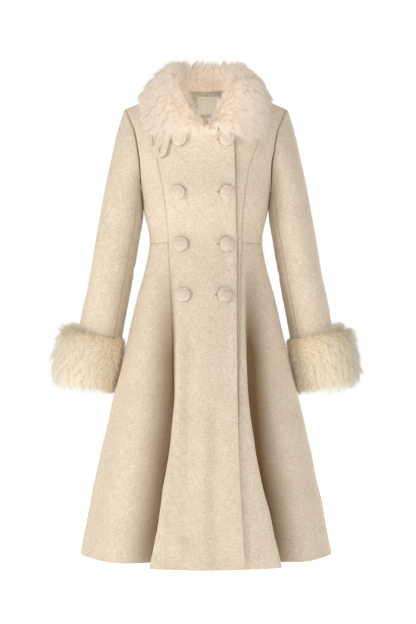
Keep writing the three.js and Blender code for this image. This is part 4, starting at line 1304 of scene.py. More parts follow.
def covered_button(name, x, z, material, turn):
    """A button covered in cloth: its profile turned round the normal, with slight gathers at the rim."""
    sides = BUTTON_SIDES
    radius, height = BUTTON_PROFILE["radius"], BUTTON_PROFILE["height"]
    step = np.linspace(0, len(radius) - 1, BUTTON_RINGS)
    index = {"key": np.arange(len(radius), dtype=float), "radius": radius, "height": height}
    radius, height = curve(index, "radius")(step), curve(index, "height")(step)
    radius, height = np.maximum(radius[1:-1], 0.05), height[1:-1]
    angle = np.linspace(0, 2 * np.pi, sides, endpoint=False) + turn
    # The gathers are two sine waves round the rim, and they fade away from it as a bell curve
    rim = np.exp(-(((radius - BUTTON_RIM) / 1.6) ** 2))[:, None]
    gathers = 0.1 * rim * (np.sin(19 * angle) + 0.6 * np.sin(31 * angle + 1.7))[None, :]
    across_cloth = 0.1 * np.sin(3 * angle + 0.5)[None, :] * (radius / 16)[:, None]
    r = radius[:, None] + gathers
    h = height[:, None] + across_cloth
    place, normal, right, up = frame_on_cloth(x, z)
    points = (
        place
        + normal * (h + SEAT)[..., None]
        + right * (r * np.cos(angle))[..., None]
        + up * (r * np.sin(angle))[..., None]
    )
    corners, sizes = capped_tube(len(radius), sides)
    flat = np.stack([r * np.cos(angle), r * np.sin(angle)], axis=-1) * MM
    # Painted shade: a little on the crown inside the groove, and more on the gathered underside
    on_crown = BUTTON_CROWN_SHADE * smoothstep(radius, BUTTON_GROOVE + 0.6, BUTTON_GROOVE - 0.6)
    shade = np.where(height < BUTTON_UNDERSIDE, BUTTON_UNDER_SHADE, on_crown)[:, None] + 0 * r
    return new_piece(name, points, corners, material, sizes, flat, {"shade": shade})


def ring_points_outwards(points, faces, middle):
    """Whether faces look away from a middle, by the sum of their normals along the way out from it."""
    p = points.reshape(-1, 3)[faces]
    outwards = np.cross(p[:, 2] - p[:, 0], p[:, 3] - p[:, 1])
    return np.sum(outwards * (p.mean(axis=1) - middle)) > 0


def capped_tube(rows, columns, turn=1):
    """Corners and sizes of the faces of a closed tube: its sides and one flat face at each end."""
    sides = ring_faces(rows, columns, False)
    first, last = np.arange(columns)[::-1], (rows - 1) * columns + np.arange(columns)
    ends = np.stack([first, last])
    if turn < 0:
        sides, ends = sides[:, ::-1], ends[:, ::-1]
    return np.concatenate([sides.ravel(), ends.ravel()]), np.r_[np.full(len(sides), 4), columns, columns]


def stitched_band(name, at, material, length, half_gap, width, stitches):
    """Close buttonhole stitching round a slot: a rounded band whose height ripples once for each stitch.

    The slot is a straight line with round ends. at takes two flat coordinates and a height to the cloth.
    """
    around, across = stitches * 4, 7
    straight = length - 2 * half_gap
    total = 2 * straight + 2 * np.pi * half_gap
    s = np.linspace(0, total, around, endpoint=False)
    t = np.linspace(0, np.pi, across)
    end_turn = np.pi * half_gap
    first = s < straight
    second = (s >= straight) & (s < straight + end_turn)
    third = (s >= straight + end_turn) & (s < 2 * straight + end_turn)
    turn = np.where(second, (s - straight) / half_gap, (s - 2 * straight - end_turn) / half_gap)
    legs = [first, second, third]
    centre = np.select(legs, [s, straight, 2 * straight + end_turn - s], 0) - straight / 2
    heading = np.select(legs, [-np.pi / 2, turn - np.pi / 2, np.pi / 2], turn + np.pi / 2)
    ripple = 1 + RIPPLE * np.cos(2 * np.pi * stitches * s / total)
    out = half_gap + width * (1 - np.cos(t))[None, :] / 2 * (1 + 0.08 * (ripple[:, None] - 1))
    lift = 0.55 * np.sin(t)[None, :] * ripple[:, None]
    x = centre[:, None] + out * np.cos(heading)[:, None]
    y = out * np.sin(heading)[:, None]
    outer = at(x, y, lift + 0.12)
    inner = at(x, y, 0 * lift - 0.25)
    faces = shell_faces(around, across, -1, closed=True)
    return new_piece(name, np.stack([outer, inner]), faces, material)


def slot_shadow(name, at, material, length, half_width):
    """A painted shadow for the open slot between the stitches: a dark lens-shaped sliver."""
    along, across = 25, 5
    u = np.linspace(-1, 1, along)[:, None]
    v = np.linspace(-1, 1, across)[None, :]
    x = u * length / 2 + 0 * v
    y = v * half_width * np.sqrt(np.maximum(1 - u * u, 0.002))
    outer, inner = at(x, y, 0 * x + 0.16), at(x, y, 0 * x - 0.1)
    faces = shell_faces(along, across, -1)
    return new_piece(name, np.stack([outer, inner]), faces, material)


class COAT_OT_buttons(bpy.types.Operator):
    """Make the covered buttons in two columns, and the stitched buttonholes under the left column"""

    bl_idname = "coat.buttons"
    bl_label = "Buttons and buttonholes"

    def execute(self, context):
        colours = context.scene.coat_colours
        blend = (colours.cover, colours.cover_dark, colours.cover_light, colours.cover_warm)
        cover = wool_melton("Button cover of fine wool", blend, fleck_mm=1.7, relief_mm=0.2, sheen=0.3)
        thread = sewing_thread("Buttonhole twist", "#D8C6AB")
        # A dark sheet in each slot is the painted shadow of its opening
        dark = sewing_thread("Shadow in the slot", "#4A3A29")
        for row, (z, right_x, left_x) in enumerate(zip(*BUTTONS.values()), 1):
            for word, x in (("right", right_x), ("left", left_x)):
                name = f"{word}_button_{row}"
                button = covered_button(f"{name}_cover", x, z, cover, 0.7 * row)
                carry(button, name)
            centre = left_x - BUTTONHOLE_START + BUTTONHOLE_LENGTH / 2

            def at(dx, dy, height, middle=centre, level=z):
                return chest_place(middle + dx, level + dy, height)[0]

            size = {"length": BUTTONHOLE_LENGTH, "half_gap": 0.6, "width": 2.3, "stitches": 44}
            hole = stitched_band(f"buttonhole_{row}", at, thread, **size)
            size = {"length": BUTTONHOLE_LENGTH - 0.6, "half_width": 0.65}
            slot = slot_shadow(f"buttonhole_slot_{row}", at, dark, **size)
            for piece in (hole, slot):
                carry(piece)
        return {"FINISHED"}


def tab_place(down, across):
    """[x, z] of a place on the throat tab, by its distance down the strap and across it."""
    run = TAB_END - TAB_TOP
    forwards = run / np.linalg.norm(run)
    sideways = np.array([-forwards[1], forwards[0]])
    return TAB_TOP + down[..., None] * forwards + across[..., None] * sideways


class COAT_OT_throat_tab(bpy.types.Operator):
    """Make the throat tab: a strap with a round end and a stitched buttonhole, under the collar"""

    bl_idname = "coat.throat_tab"
    bl_label = "Throat tab"

    def execute(self, context):
        wool = coat_wool()
        length = np.linalg.norm(TAB_END - TAB_TOP)
        rows, columns = 60, 25
        t = np.sin(np.radians(np.linspace(90, 0, rows))) ** 0.9
        down = length * t[:, None]
        into_end = np.clip((down - (length - TAB_HALF_WIDTH)) / TAB_HALF_WIDTH, 0, 0.995)
        half = TAB_HALF_WIDTH * np.sqrt(1 - into_end**2)
        u = np.sin(np.linspace(np.pi / 2, -np.pi / 2, columns))[None, :]
        across = half * u

        def lifted(share):
            return SEAT + TAB_END_LIFT * share**0.7

        place = tab_place(down + 0 * u, across)
        from_edge = np.minimum(half - np.abs(across), np.maximum(length - down, 0) + 0 * u)
        rounding = TAB_THICKNESS / 2 * (1 - np.sqrt(1 - np.clip(1 - from_edge / 2.4, 0, 1) ** 2))
        stitched = 0.5 * np.exp(-(((from_edge - 4.5) / 1.1) ** 2))
        lift = lifted(t[:, None])
        outer, _ = chest_place(place[..., 0], place[..., 1], lift + TAB_THICKNESS - rounding - stitched)
        inner, _ = chest_place(place[..., 0], place[..., 1], lift + rounding)
        faces = shell_faces(rows, columns, -1)
        if not ring_points_outwards(np.stack([outer, inner]), faces, outer.reshape(-1, 3).mean(axis=0)):
            faces = faces[:, ::-1]
        uv = np.stack([np.stack([across, down + 0 * u], axis=-1)] * 2) * MM
        tab = new_piece("throat_tab_cloth", np.stack([outer, inner]), faces, wool, uv=uv)
        carry(tab, "throat_tab")

        hole_down = length - TAB_HALF_WIDTH - 2

        def at(dx, dy, height):
            spot = tab_place(hole_down + dx, dy)
            share = np.clip((hole_down + dx) / length, 0, 1)
            return chest_place(spot[..., 0], spot[..., 1], lifted(share) + TAB_THICKNESS + height)[0]

        thread = sewing_thread("Tab buttonhole twist", "#D3BF9F")
        # A dark sheet in the slot is the painted shadow of its opening
        dark = sewing_thread("Shadow in the tab's slot", "#54422E")
        size = {"length": 16.0, "half_gap": 0.5, "width": 1.9, "stitches": 32}
        hole = stitched_band("tab_buttonhole", at, thread, **size)
        slot = slot_shadow("tab_buttonhole_slot", at, dark, length=10.0, half_width=0.7)
        for piece in (hole, slot):
            carry(piece)
        return {"FINISHED"}


def inside_back(x, z, depth):
    """Points inside the back of the coat at x and z, further in than the cloth's inner face by depth."""
    step = 1.0
    across = upper_point(x + step, z, True) - upper_point(x - step, z, True)
    up = upper_point(x, z + step, True) - upper_point(x, z - step, True)
    normal = -unit(np.cross(across, up))
    return upper_point(x, z, True) - normal * (CLOTH + depth)[..., None]


class COAT_OT_labels(bpy.types.Operator):
    """Make the two bare woven labels inside the back of the neck, the larger one stitched along its edges"""

    bl_idname = "coat.labels"
    bl_label = "Labels"

    def execute(self, context):
        woven = woven_label("Woven label cloth", context.scene.coat_colours.label)
        thread = sewing_thread("Label thread", "#C9BB9C")
        for name, (cx, cz), (width, height), stitch_edge in (
            ("neck_label", LABEL_CENTRE, LABEL_SIZE, True),
            ("size_tab", SIZE_TAB_CENTRE, SIZE_TAB_SIZE, False),
        ):
            rows, columns = 30, 40
            u = np.linspace(-0.5, 0.5, columns)[None, :]
            v = np.linspace(-0.5, 0.5, rows)[:, None]
            x, z = cx + u * width + 0 * v, cz + v * height + 0 * u
            wave = 0.35 * np.sin(x / 5.5 + 0.6) * np.sin(z / 7) + 0.45
            near = inside_back(x, z, SEAT + wave + LABEL_THICKNESS)
            far = inside_back(x, z, SEAT + wave)
            faces = shell_faces(rows, columns, 1)
            uv = np.stack([np.stack([u * width + 0 * v, v * height + 0 * u], axis=-1)] * 2) * MM
            label = new_piece(f"{name}_cloth", np.stack([near, far]), faces, woven, uv=uv)
            carry(label, name)
            if stitch_edge:
                stitches = edge_stitches("label_stitches", cx, cz, width - 3, height - 3, thread)
                carry(stitches)
        return {"FINISHED"}


def edge_stitches(name, cx, cz, width, height, material):
    """Short stitches round a rectangle: each is a six-sided spindle that dips into the cloth at both ends."""
    pitch, long = 2.6, 1.87
    corners = np.array([[-1, -1], [1, -1], [1, 1], [-1, 1]]) * [width / 2, height / 2]
    centres, headings = [], []
    for start, end in zip(corners, np.roll(corners, -1, axis=0)):
        count = int(np.linalg.norm(end - start) / pitch)
        t = (np.arange(count) + 0.5) / count
        centres.append(start + t[:, None] * (end - start))
        headings.append(np.tile((end - start) / np.linalg.norm(end - start), (count, 1)))
    centres, headings = np.concatenate(centres), np.concatenate(headings)
    rings, sides = 6, 6
    along = np.linspace(-1, 1, rings)
    around = np.radians(np.arange(0, 360, 360 / sides))
    radius = 0.28 * np.sqrt(np.maximum(1 - along**2, 0.04))
    side = headings[:, ::-1] * [-1, 1]
    flat = centres[:, None, None, :] + headings[:, None, None, :] * (along * long / 2)[None, :, None, None]
    flat = flat + side[:, None, None, :] * (radius[:, None] * np.cos(around))[None, :, :, None]
    dip = 0.2 * (along**2)[None, :, None]
    height = (radius[:, None] * np.sin(around))[None] - dip
    depth = SEAT + LABEL_WAVE + LABEL_THICKNESS + height + 0 * flat[..., 0]
    points = inside_back(cx + flat[..., 0], cz + flat[..., 1], depth)
    corners, sizes = capped_tube(rings, sides)
    offsets = rings * sides * np.arange(len(centres))[:, None]
    corners, sizes = (corners + offsets).ravel(), np.tile(sizes, len(centres))
    return new_piece(name, points, corners, material, sizes)


# Fur


def sample_grid(grid, u, v):
    """Values of a grid of points between its places, at fractional row u and column v."""
    i = np.clip(u.astype(int), 0, grid.shape[0] - 2)
    j = np.clip(v.astype(int), 0, grid.shape[1] - 2)
    s, t = (u - i)[:, None], (v - j)[:, None]
    low = grid[i, j] * (1 - t) + grid[i, j + 1] * t
    high = grid[i + 1, j] * (1 - t) + grid[i + 1, j + 1] * t
    return low * (1 - s) + high * s


def fur_hairs(
    name,
    skin,
    flow,
    reach,
    count,
    radius_mm,
    material,
    seed,
    spread=0.24,
    pull=0.42,
    wrap=(0, 0, 0.3),
):
    """Thousands of tapered three-sided hairs on a grid of skin points, drawn together into locks.

    Each hair runs from the skin to a middle and a tip. It leans from the normal towards the flow, and its
    tip is pulled towards the tip of the nearest lock. flow holds a direction for each skin point, whose
    length gives how far the hairs lie down, and reach the hairs' length. spread is how much single hairs
    wander. wrap turns the shading of all of them a little that way, as light that spreads through fur does.
    """
    rng = np.random.default_rng(seed)
    normals = grid_normals(skin, 1)
    a, b, c, d = cell_corners(skin)
    cells = np.linalg.norm(np.cross(c - a, d - b), axis=-1) / 2
    sums = np.cumsum(cells.ravel())
    picks = np.searchsorted(sums, (np.arange(count) + rng.random(count)) / count * sums[-1])
    picks = np.clip(picks, 0, cells.size - 1)
    u = picks // cells.shape[1] + rng.random(count)
    v = picks % cells.shape[1] + rng.random(count)

    row_mm = np.linalg.norm(np.diff(skin, axis=0), axis=-1).mean()
    column_mm = np.linalg.norm(np.diff(skin, axis=1), axis=-1).mean()
    per_lock = np.array([LOCK_MM / row_mm, LOCK_MM / column_mm])
    lattice = np.ceil(np.array(skin.shape[:2]) / per_lock).astype(int) + 3
    jitter = rng.random((*lattice, 2))
    lock_turn = rng.normal(0, 1, (*lattice, 3))
    lock_length = rng.uniform(0.86, 1.12, lattice)
    lock_tint = rng.random(lattice)
    cell = np.floor(np.stack([u, v], axis=-1) / per_lock).astype(int)
    offsets = np.stack(np.meshgrid([-1, 0, 1], [-1, 0, 1], indexing="ij"), axis=-1).reshape(-1, 2)
    near = np.clip(cell[:, None, :] + offsets + 1, 0, lattice - 1)
    centres = (near - 1 + jitter[near[..., 0], near[..., 1]]) * per_lock
    away = np.linalg.norm((centres - np.stack([u, v], axis=-1)[:, None, :]) / per_lock, axis=-1)
    best = np.argmin(away, axis=1)
    picked = near[np.arange(count), best]
    centre = np.clip(centres[np.arange(count), best], 0, np.array(skin.shape[:2]) - 1.001)
    key = (picked[:, 0], picked[:, 1])

    def lie(points_u, points_v, wander):
        normal = unit(sample_grid(normals, points_u, points_v))
        comb = sample_grid(flow, points_u, points_v)
        return unit(normal + comb + wander), unit(normal + 1.7 * comb + 1.3 * wander)

    root = sample_grid(skin, u, v)
    lock_root = sample_grid(skin, centre[:, 0], centre[:, 1])
    own_wander = spread * rng.normal(0, 1, (count, 3))
    lock_wander = LOCK_WANDER * lock_turn[key]
    rise, fall = lie(u, v, own_wander * 0.6 + lock_wander)
    lock_rise, lock_fall = lie(centre[:, 0], centre[:, 1], lock_wander)
    long = sample_grid(reach[..., None], u, v)[:, 0] * lock_length[key] * rng.uniform(0.74, 1.08, count)
    long = long[:, None]
    middle = root + rise * long * 0.5
    tip = middle + fall * long * 0.5
    lock_middle = lock_root + lock_rise * long * 0.5
    lock_tip = lock_middle + lock_fall * long * 0.5
    middle = middle + (lock_middle - middle) * pull * 0.45
    tip = tip + (lock_tip - tip) * pull
    tip[:, 2] -= HAIR_DROOP * long[:, 0]

    start = root - unit(sample_grid(normals, u, v)) * HAIR_ROOT_DEPTH
    width = radius_mm * rng.uniform(0.7, 1.25, count)[:, None]
    heading = unit(tip - start)
    side = unit(np.cross(heading, rng.normal(0, 1, (count, 3))))
    other = np.cross(heading, side)
    points, soft_normals = np.empty((count, 7, 3)), np.empty((count, 7, 3))
    soft_normals[:] = unit(sample_grid(normals, u, v))[:, None] + wrap
    for corner, angle in enumerate(np.radians([0, 120, 240])):
        away = side * np.cos(angle) + other * np.sin(angle)
        points[:, corner] = start + away * width
        points[:, 3 + corner] = middle + away * width * HAIR_TAPER
        soft_normals[:, [corner, 3 + corner]] += HAIR_ROUNDNESS * away[:, None]
    points[:, 6] = tip
    sizes = np.tile([len(face) for face in HAIR_FACES], count)
    corners = (np.concatenate(HAIR_FACES)[None] + 7 * np.arange(count)[:, None]).ravel()
    height = np.tile(HAIR_HEIGHTS, (count, 1))
    tint = np.clip(0.55 * lock_tint[key] + 0.45 * rng.random(count), 0, 1)
    # The lamps' light passes between real hairs, so these coarser ones neither cast shadows nor dim
    # the light from around; the skin under them does
    values = {"hair_height": height, "hair_tint": np.repeat(tint[:, None], 7, axis=1)}
    piece = new_piece(name, points, corners, material, sizes, values=values, normals=unit(soft_normals))
    piece.visible_shadow = piece.visible_diffuse = False
    return piece


def surface_on_coat(x, z, on_back):
    """The coat's surface and outward normal at x and z, turning to the shoulder's normal along its ridge."""
    step = 0.5
    z = np.minimum(z, shoulder_z(x) - 0.01)
    place = upper_point(x, z, on_back)
    low = np.minimum(z, shoulder_z(np.abs(x) + step) - step - 0.01)
    across = upper_point(x + step, low, on_back) - upper_point(x - step, low, on_back)
    up = upper_point(x, low + step, on_back) - upper_point(x, low - step, on_back)
    normal = unit(np.cross(across, up)) * (-1 if on_back else 1)
    ridge = unit(np.stack([np.sign(x) * SHOULDER_SLOPE, 0 * x, 1 + 0 * x], axis=-1))
    by_ridge = smoothstep(shoulder_z(x) - z, 3, 0)[..., None]
    return place, unit(normal + (ridge - normal) * by_ridge)


def collar_controls(turn, side, thinner):
    """Control points of the collar's sections at each turn, and the points of its underside on the coat.

    A section goes from the neck seam up inside, over the rolled crest and out to the edge. thinner takes that
    much off the fur's loft.
    """
    on_back = turn > 0.5
    front_x, front_z = neck_front(1 - np.clip(turn, 0, 0.5) * 2)
    back_x, back_z = neck_back((np.clip(turn, 0.5, 1) - 0.5) * 2)
    neck_x, neck_z = np.where(on_back, back_x, front_x), np.where(on_back, back_z, front_z)
    edge_x = FUR_COLLAR["edge_x"](turn)
    edge_z = np.minimum(FUR_COLLAR["edge_z"](turn), shoulder_z(edge_x))
    end = COLLAR_FRONT_GAP * (1 - smoothstep(turn, 0, 0.05))
    loft = FUR_COLLAR["loft"](turn) - thinner
    roll = np.maximum(FUR_COLLAR["roll"](turn) - 0.8 * thinner, 3)

    def place_at(share):
        x = side * np.maximum(neck_x + (edge_x - neck_x) * share, end)
        z = neck_z + (edge_z - neck_z) * share
        front, front_n = surface_on_coat(x, z, False)
        back, back_n = surface_on_coat(x, z, True)
        pick = on_back[:, None]
        return np.where(pick, back, front), np.where(pick, back_n, front_n)

    def rise_over(x):
        rises = [
            height * (1 - smoothstep(np.abs(x - centre), half * 0.7, half * 1.7))
            for centre, half, height in zip(*COLLAR_RISES.values())
        ]
        return np.where(on_back, 0, np.max(rises, axis=0))

    def on(share, height, rising=1.0):
        place, normal = place_at(share)
        lifted = height + rising * rise_over(place[:, 0]) * smoothstep(share, 0.2, 0.6)
        return place + normal * lifted[:, None]

    crest = np.stack([FUR_COLLAR[f"crest_{axis}"](turn) for axis in "xyz"], axis=-1)
    crest[:, 0] *= side
    neck, tip = on(0.0, 0 * turn), on(1.0, 0 * turn)
    rise, fall = unit(crest - neck), unit(tip - neck)
    outwards = place_at(0.55)[1]
    seat = COLLAR_SEAT + np.where(on_back, 0, (CLOTH + LAYER_GAP) * (1 - smoothstep(turn, 0.3, 0.5)))
    crest = crest - 0.7 * thinner * rise
    pulled_in = 0.9 if thinner > 0 else 1.0
    r, h = roll[:, None], loft[:, None]
    over = [
        on(0.06, seat),
        neck + (crest - neck) * 0.45 - 0.25 * r * fall + 2 * rise,
        crest - 0.8 * r * fall,
        crest - 0.25 * r * fall + 0.75 * r * rise,
        crest + 0.6 * r * fall + 0.75 * r * rise,
        crest + (tip - crest) * 0.3 + outwards * 0.8 * h,
        crest + (tip - crest) * 0.58 + outwards * 0.95 * h,
        on(0.87 * pulled_in, 0.98 * loft, 0.5),
        on(pulled_in, 0.55 * loft, 0.8) + 0.15 * h * fall,
        on(0.97 * pulled_in, seat),
    ]
    return np.stack(over, axis=1), np.stack([on(share, seat) for share in COLLAR_UNDER_SHARES], axis=1)


def through_points(controls, count):
    """Smooth cubic curves through each row of control points, with slopes from the points' neighbours."""
    chords = np.linalg.norm(np.diff(controls, axis=1), axis=-1)
    knots = np.concatenate([np.zeros((len(controls), 1)), np.cumsum(chords, axis=1)], axis=1)
    last = controls.shape[1] - 1
    before = np.maximum(np.arange(last + 1) - 1, 0)
    after = np.minimum(np.arange(last + 1) + 1, last)
    slopes = (controls[:, after] - controls[:, before]) / (knots[:, after] - knots[:, before])[..., None]
    goals = knots[:, -1:] * np.linspace(0, 1, count)
    i = np.clip((knots[:, None, :] < goals[:, :, None]).sum(axis=-1) - 1, 0, last - 1)

    def take(values, index):
        return np.take_along_axis(values, index, axis=1)

    step = take(knots, i + 1) - take(knots, i)
    t = ((goals - take(knots, i)) / step)[..., None]
    p0, p1 = (take(controls, k[..., None]) for k in (i, i + 1))
    m0, m1 = (take(slopes, k[..., None]) * step[..., None] for k in (i, i + 1))
    return (
        p0 * (2 * t**3 - 3 * t**2 + 1)
        + m0 * (t**3 - 2 * t**2 + t)
        + p1 * (3 * t**2 - 2 * t**3)
        + m1 * (t**3 - t**2)
    )


def collar_turns():
    """Turn and side of each station of the collar, from one front end to the other round the back."""
    t = np.linspace(0, 1, COLLAR_STATIONS + 1)
    half = t + 0.1 * np.sin(2 * np.pi * t)
    turn = np.concatenate([half, half[-2::-1]])
    side = np.concatenate([np.full(len(half), -1.0), np.full(len(half) - 1, 1.0)])
    return turn, side


class COAT_OT_collar(bpy.types.Operator):
    """Make the fur collar: its skin with short underfur, and long hairs combed over the roll and outwards"""

    bl_idname = "coat.collar"
    bl_label = "Fur collar"

    def execute(self, context):
        settings = context.scene.coat
        turn, side = collar_turns()
        over, under = collar_controls(turn, side, settings.hair_stand / MM)
        skin = through_points(over, COLLAR_OVER_POINTS)
        section = np.concatenate([skin, under], axis=1)
        rows, columns = section.shape[:2]
        middle_faces = ring_faces(rows, columns, False)[rows // 2 * columns : (rows // 2 + 1) * columns]
        centre = section[rows // 2].mean(axis=0)
        turn_out = 1 if ring_points_outwards(section, middle_faces, centre) else -1
        corners, sizes = capped_tube(rows, columns, turn_out)
        underfur = fur_skin("Collar underfur", "#DDBFA6", "#F4E2D3")
        base = new_piece("collar_skin", section, corners, underfur, sizes)
        carry(base, "fur_collar")

        on_top = skin[rows // 2, COLLAR_OVER_POINTS // 2]
        top_normal = grid_normals(skin, 1)[rows // 2, COLLAR_OVER_POINTS // 2]
        over_turn = 1 if np.sum(top_normal * (on_top - centre)) > 0 else -1
        if over_turn < 0:
            skin = skin[::-1]
            turn, side = turn[::-1], side[::-1]
        combed = unit(np.gradient(skin, axis=1))
        sideways = unit(np.gradient(skin, axis=0))
        place = np.linspace(0, 1, COLLAR_OVER_POINTS)[None, :]
        lying = 0.5 + 0.5 * smoothstep(place, 0.18, 0.05) + 1.1 * smoothstep(place, 0.3, 0.62)
        swing = 0.25 * np.sin(np.arange(rows) / rows * 7 * np.pi)[:, None, None]
        towards_end = np.where(side * over_turn < 0, -1, 1)[:, None, None]
        ending = towards_end * smoothstep(turn, 0.12, 0.0)[:, None, None]
        below_roll = smoothstep(place, 0.36, 0.6)[..., None]
        flow = combed * lying[..., None] + (swing + 0.9 * ending * below_roll) * sideways
        length = settings.collar_hair / MM
        near_front = smoothstep(turn, 0.0, 0.16)[:, None]
        from_neck = 0.35 + 0.65 * smoothstep(place, 0.0, 0.3 - 0.1 * near_front)
        reach = length * (0.85 + 0.15 * near_front) * from_neck
        colours = context.scene.coat_colours
        fur = long_fur("Long collar fur", colours.collar_root, colours.collar_middle, colours.collar_tip)
        third = rows // 3
        for index, name in enumerate(("first_side", "back", "second_side")):
            part = slice(index * third, min(rows, (index + 1) * third + 1 + 2 * (index == 2)))
            hairs = fur_hairs(
                f"collar_fur_{name}",
                skin[part],
                flow[part],
                reach[part],
                settings.collar_hairs,
                COLLAR_HAIR_RADIUS,
                fur,
                COLLAR_SEED + index,
                wrap=(0, 0, 0.4) if name == "back" else (0, -0.5, 0.4),
            )
            carry(hairs, "fur_collar")
        return {"FINISHED"}


def cuff_grid(thinner, around):
    """Points of the left cuff's section at each angle round the sleeve: rows go down its outer side."""
    degrees = np.linspace(0, 360, around, endpoint=False)
    down, reach = CUFF_SECTION["down"], CUFF_SECTION["reach"]
    turn = np.radians(degrees)
    c, s = np.cos(turn), np.sin(turn)
    full = CUFF_REACH + CUFF_LEAN * c
    inset = thinner * reach[:, None] * np.clip(full / CUFF_REACH, 0.5, 1)
    ends = thinner * 0.6 * (np.exp(-((down / 0.1) ** 2)) - np.exp(-(((down - 1) / 0.1) ** 2)))[:, None]
    z = CUFF_TOP_Z - CUFF_LENGTH * down[:, None] + SLEEVE_END_TILT * c * (1 + reach[:, None] * 0.6) - ends
    fur = CUFF_SEAT + reach[:, None] * full - inset
    points = sleeve_point(degrees[None, :] + 0 * z, z)
    return points + np.stack([fur * c, -fur * s, 0 * fur], axis=-1), full


class COAT_OT_cuffs(bpy.types.Operator):
    """Make the fur cuffs: a band of skin with short underfur, and long hairs that part near its top edge"""

    bl_idname = "coat.cuffs"
    bl_label = "Fur cuffs"

    def execute(self, context):
        settings = context.scene.coat
        underfur = fur_skin("Cuff underfur", "#D2BB93", "#EFE1C5")
        colours = context.scene.coat_colours
        fur = long_fur("Long cuff fur", colours.cuff_root, colours.cuff_middle, colours.cuff_tip)
        points, full = cuff_grid(settings.hair_stand / MM, CUFF_STATIONS)
        loop = np.concatenate([points, points[:1]])
        columns = through_points(np.swapaxes(loop, 0, 1), CUFF_SKIN_ROWS)[:, :-1]
        furred = through_points(np.swapaxes(points[:CUFF_FURRED_POINTS], 0, 1), CUFF_FUR_ROWS)
        furred = np.concatenate([furred, furred[:1]])
        for side, word in ((-1, "right"), (1, "left")):
            skin = columns * [side, 1, 1]
            faces = ring_faces(*skin.shape[:2], True)
            tube_middle = skin.mean(axis=1, keepdims=True)
            p = skin.reshape(-1, 3)[faces]
            outwards = np.cross(p[:, 2] - p[:, 0], p[:, 3] - p[:, 1])
            middles = np.broadcast_to(tube_middle, skin.shape).reshape(-1, 3)[faces[:, 0]]
            if np.sum(outwards * (p.mean(axis=1) - middles)) < 0:
                faces = faces[:, ::-1]
            band = new_piece(f"{word}_cuff_skin", skin, faces, underfur)
            carry(band, f"{word}_fur_cuff")

            grid = furred * [side, 1, 1]
            long = np.concatenate([full, full[:1]])[:, None] / CUFF_REACH
            if side > 0:
                grid, long = grid[::-1], long[::-1]
            place = np.linspace(0, 1, CUFF_FUR_ROWS)[None, :]
            combed = unit(np.gradient(grid, axis=1))
            sideways = unit(np.gradient(grid, axis=0))
            parted = (smoothstep(place, 0.08, 0.24) * 2 - 1)[..., None]
            swing = (0.4 * np.sin(np.arange(len(grid)) / len(grid) * 6 * np.pi + side))[:, None, None]
            from_seam = np.linspace(0, 360, len(grid))[::-side] - FRONT_SLEEVE_SEAM
            tuft = -side * np.tanh(from_seam / 12) * np.exp(-((from_seam / 55) ** 2))
            swing = swing + 1.3 * tuft[:, None, None] * smoothstep(place, 0.75, 0.2)[..., None]
            flow = combed * parted * (0.9 + 0.8 * smoothstep(place, 0.3, 0.8)[..., None]) + swing * sideways
            near_skirt = np.clip(long, 0.55, 1.1)
            reach = settings.cuff_hair / MM * near_skirt * (0.75 + 0.25 * smoothstep(place, 0, 0.3))
            hairs = fur_hairs(
                f"{word}_cuff_fur",
                grid,
                flow,
                reach,
                settings.cuff_hairs,
                CUFF_HAIR_RADIUS,
                fur,
                CUFF_SEED + side,
                spread=0.22,
                pull=0.55,
            )
            carry(hairs, f"{word}_fur_cuff")
        return {"FINISHED"}


# Studio


def add_light(kind, name, place, aim, power, colour, **values):
    """A lamp of a kind at a place, turned so that its own -Z axis points at its aim."""
    light = bpy.data.lights.new(name, kind)
    light.energy, light.color = power, linear(colour)[:3]
    for key, value in values.items():
        setattr(light, key, value)
    lamp = bpy.data.objects.new(name, light)
    x, y, z = np.subtract(aim, place)
    lamp.location = place
    lamp.rotation_euler = (math.atan2(math.hypot(x, y), -z), 0, math.atan2(x, -y) + math.pi)
    bpy.context.collection.objects.link(lamp)


def white_room(strength):
    """Surroundings that light the coat evenly all round, and are pure white where the camera sees them."""
    world = bpy.data.worlds.new("Soft white room")
    bpy.context.scene.world = world
    world.use_nodes = True
    room = world.node_tree.nodes["Background"]
    room.inputs["Color"].default_value = linear("#FFF9EF")
    room.inputs["Strength"].default_value = strength
    seen = add_node(world, "ShaderNodeBackground", {"Color": (1, 1, 1, 1)})
    is_camera = add_node(world, "ShaderNodeLightPath").outputs["Is Camera Ray"]
    either = add_node(world, "ShaderNodeMixShader", {0: is_camera, 1: room.outputs[0], 2: seen.outputs[0]})
    world.node_tree.links.new(either.outputs[0], world.node_tree.nodes["World Output"].inputs["Surface"])


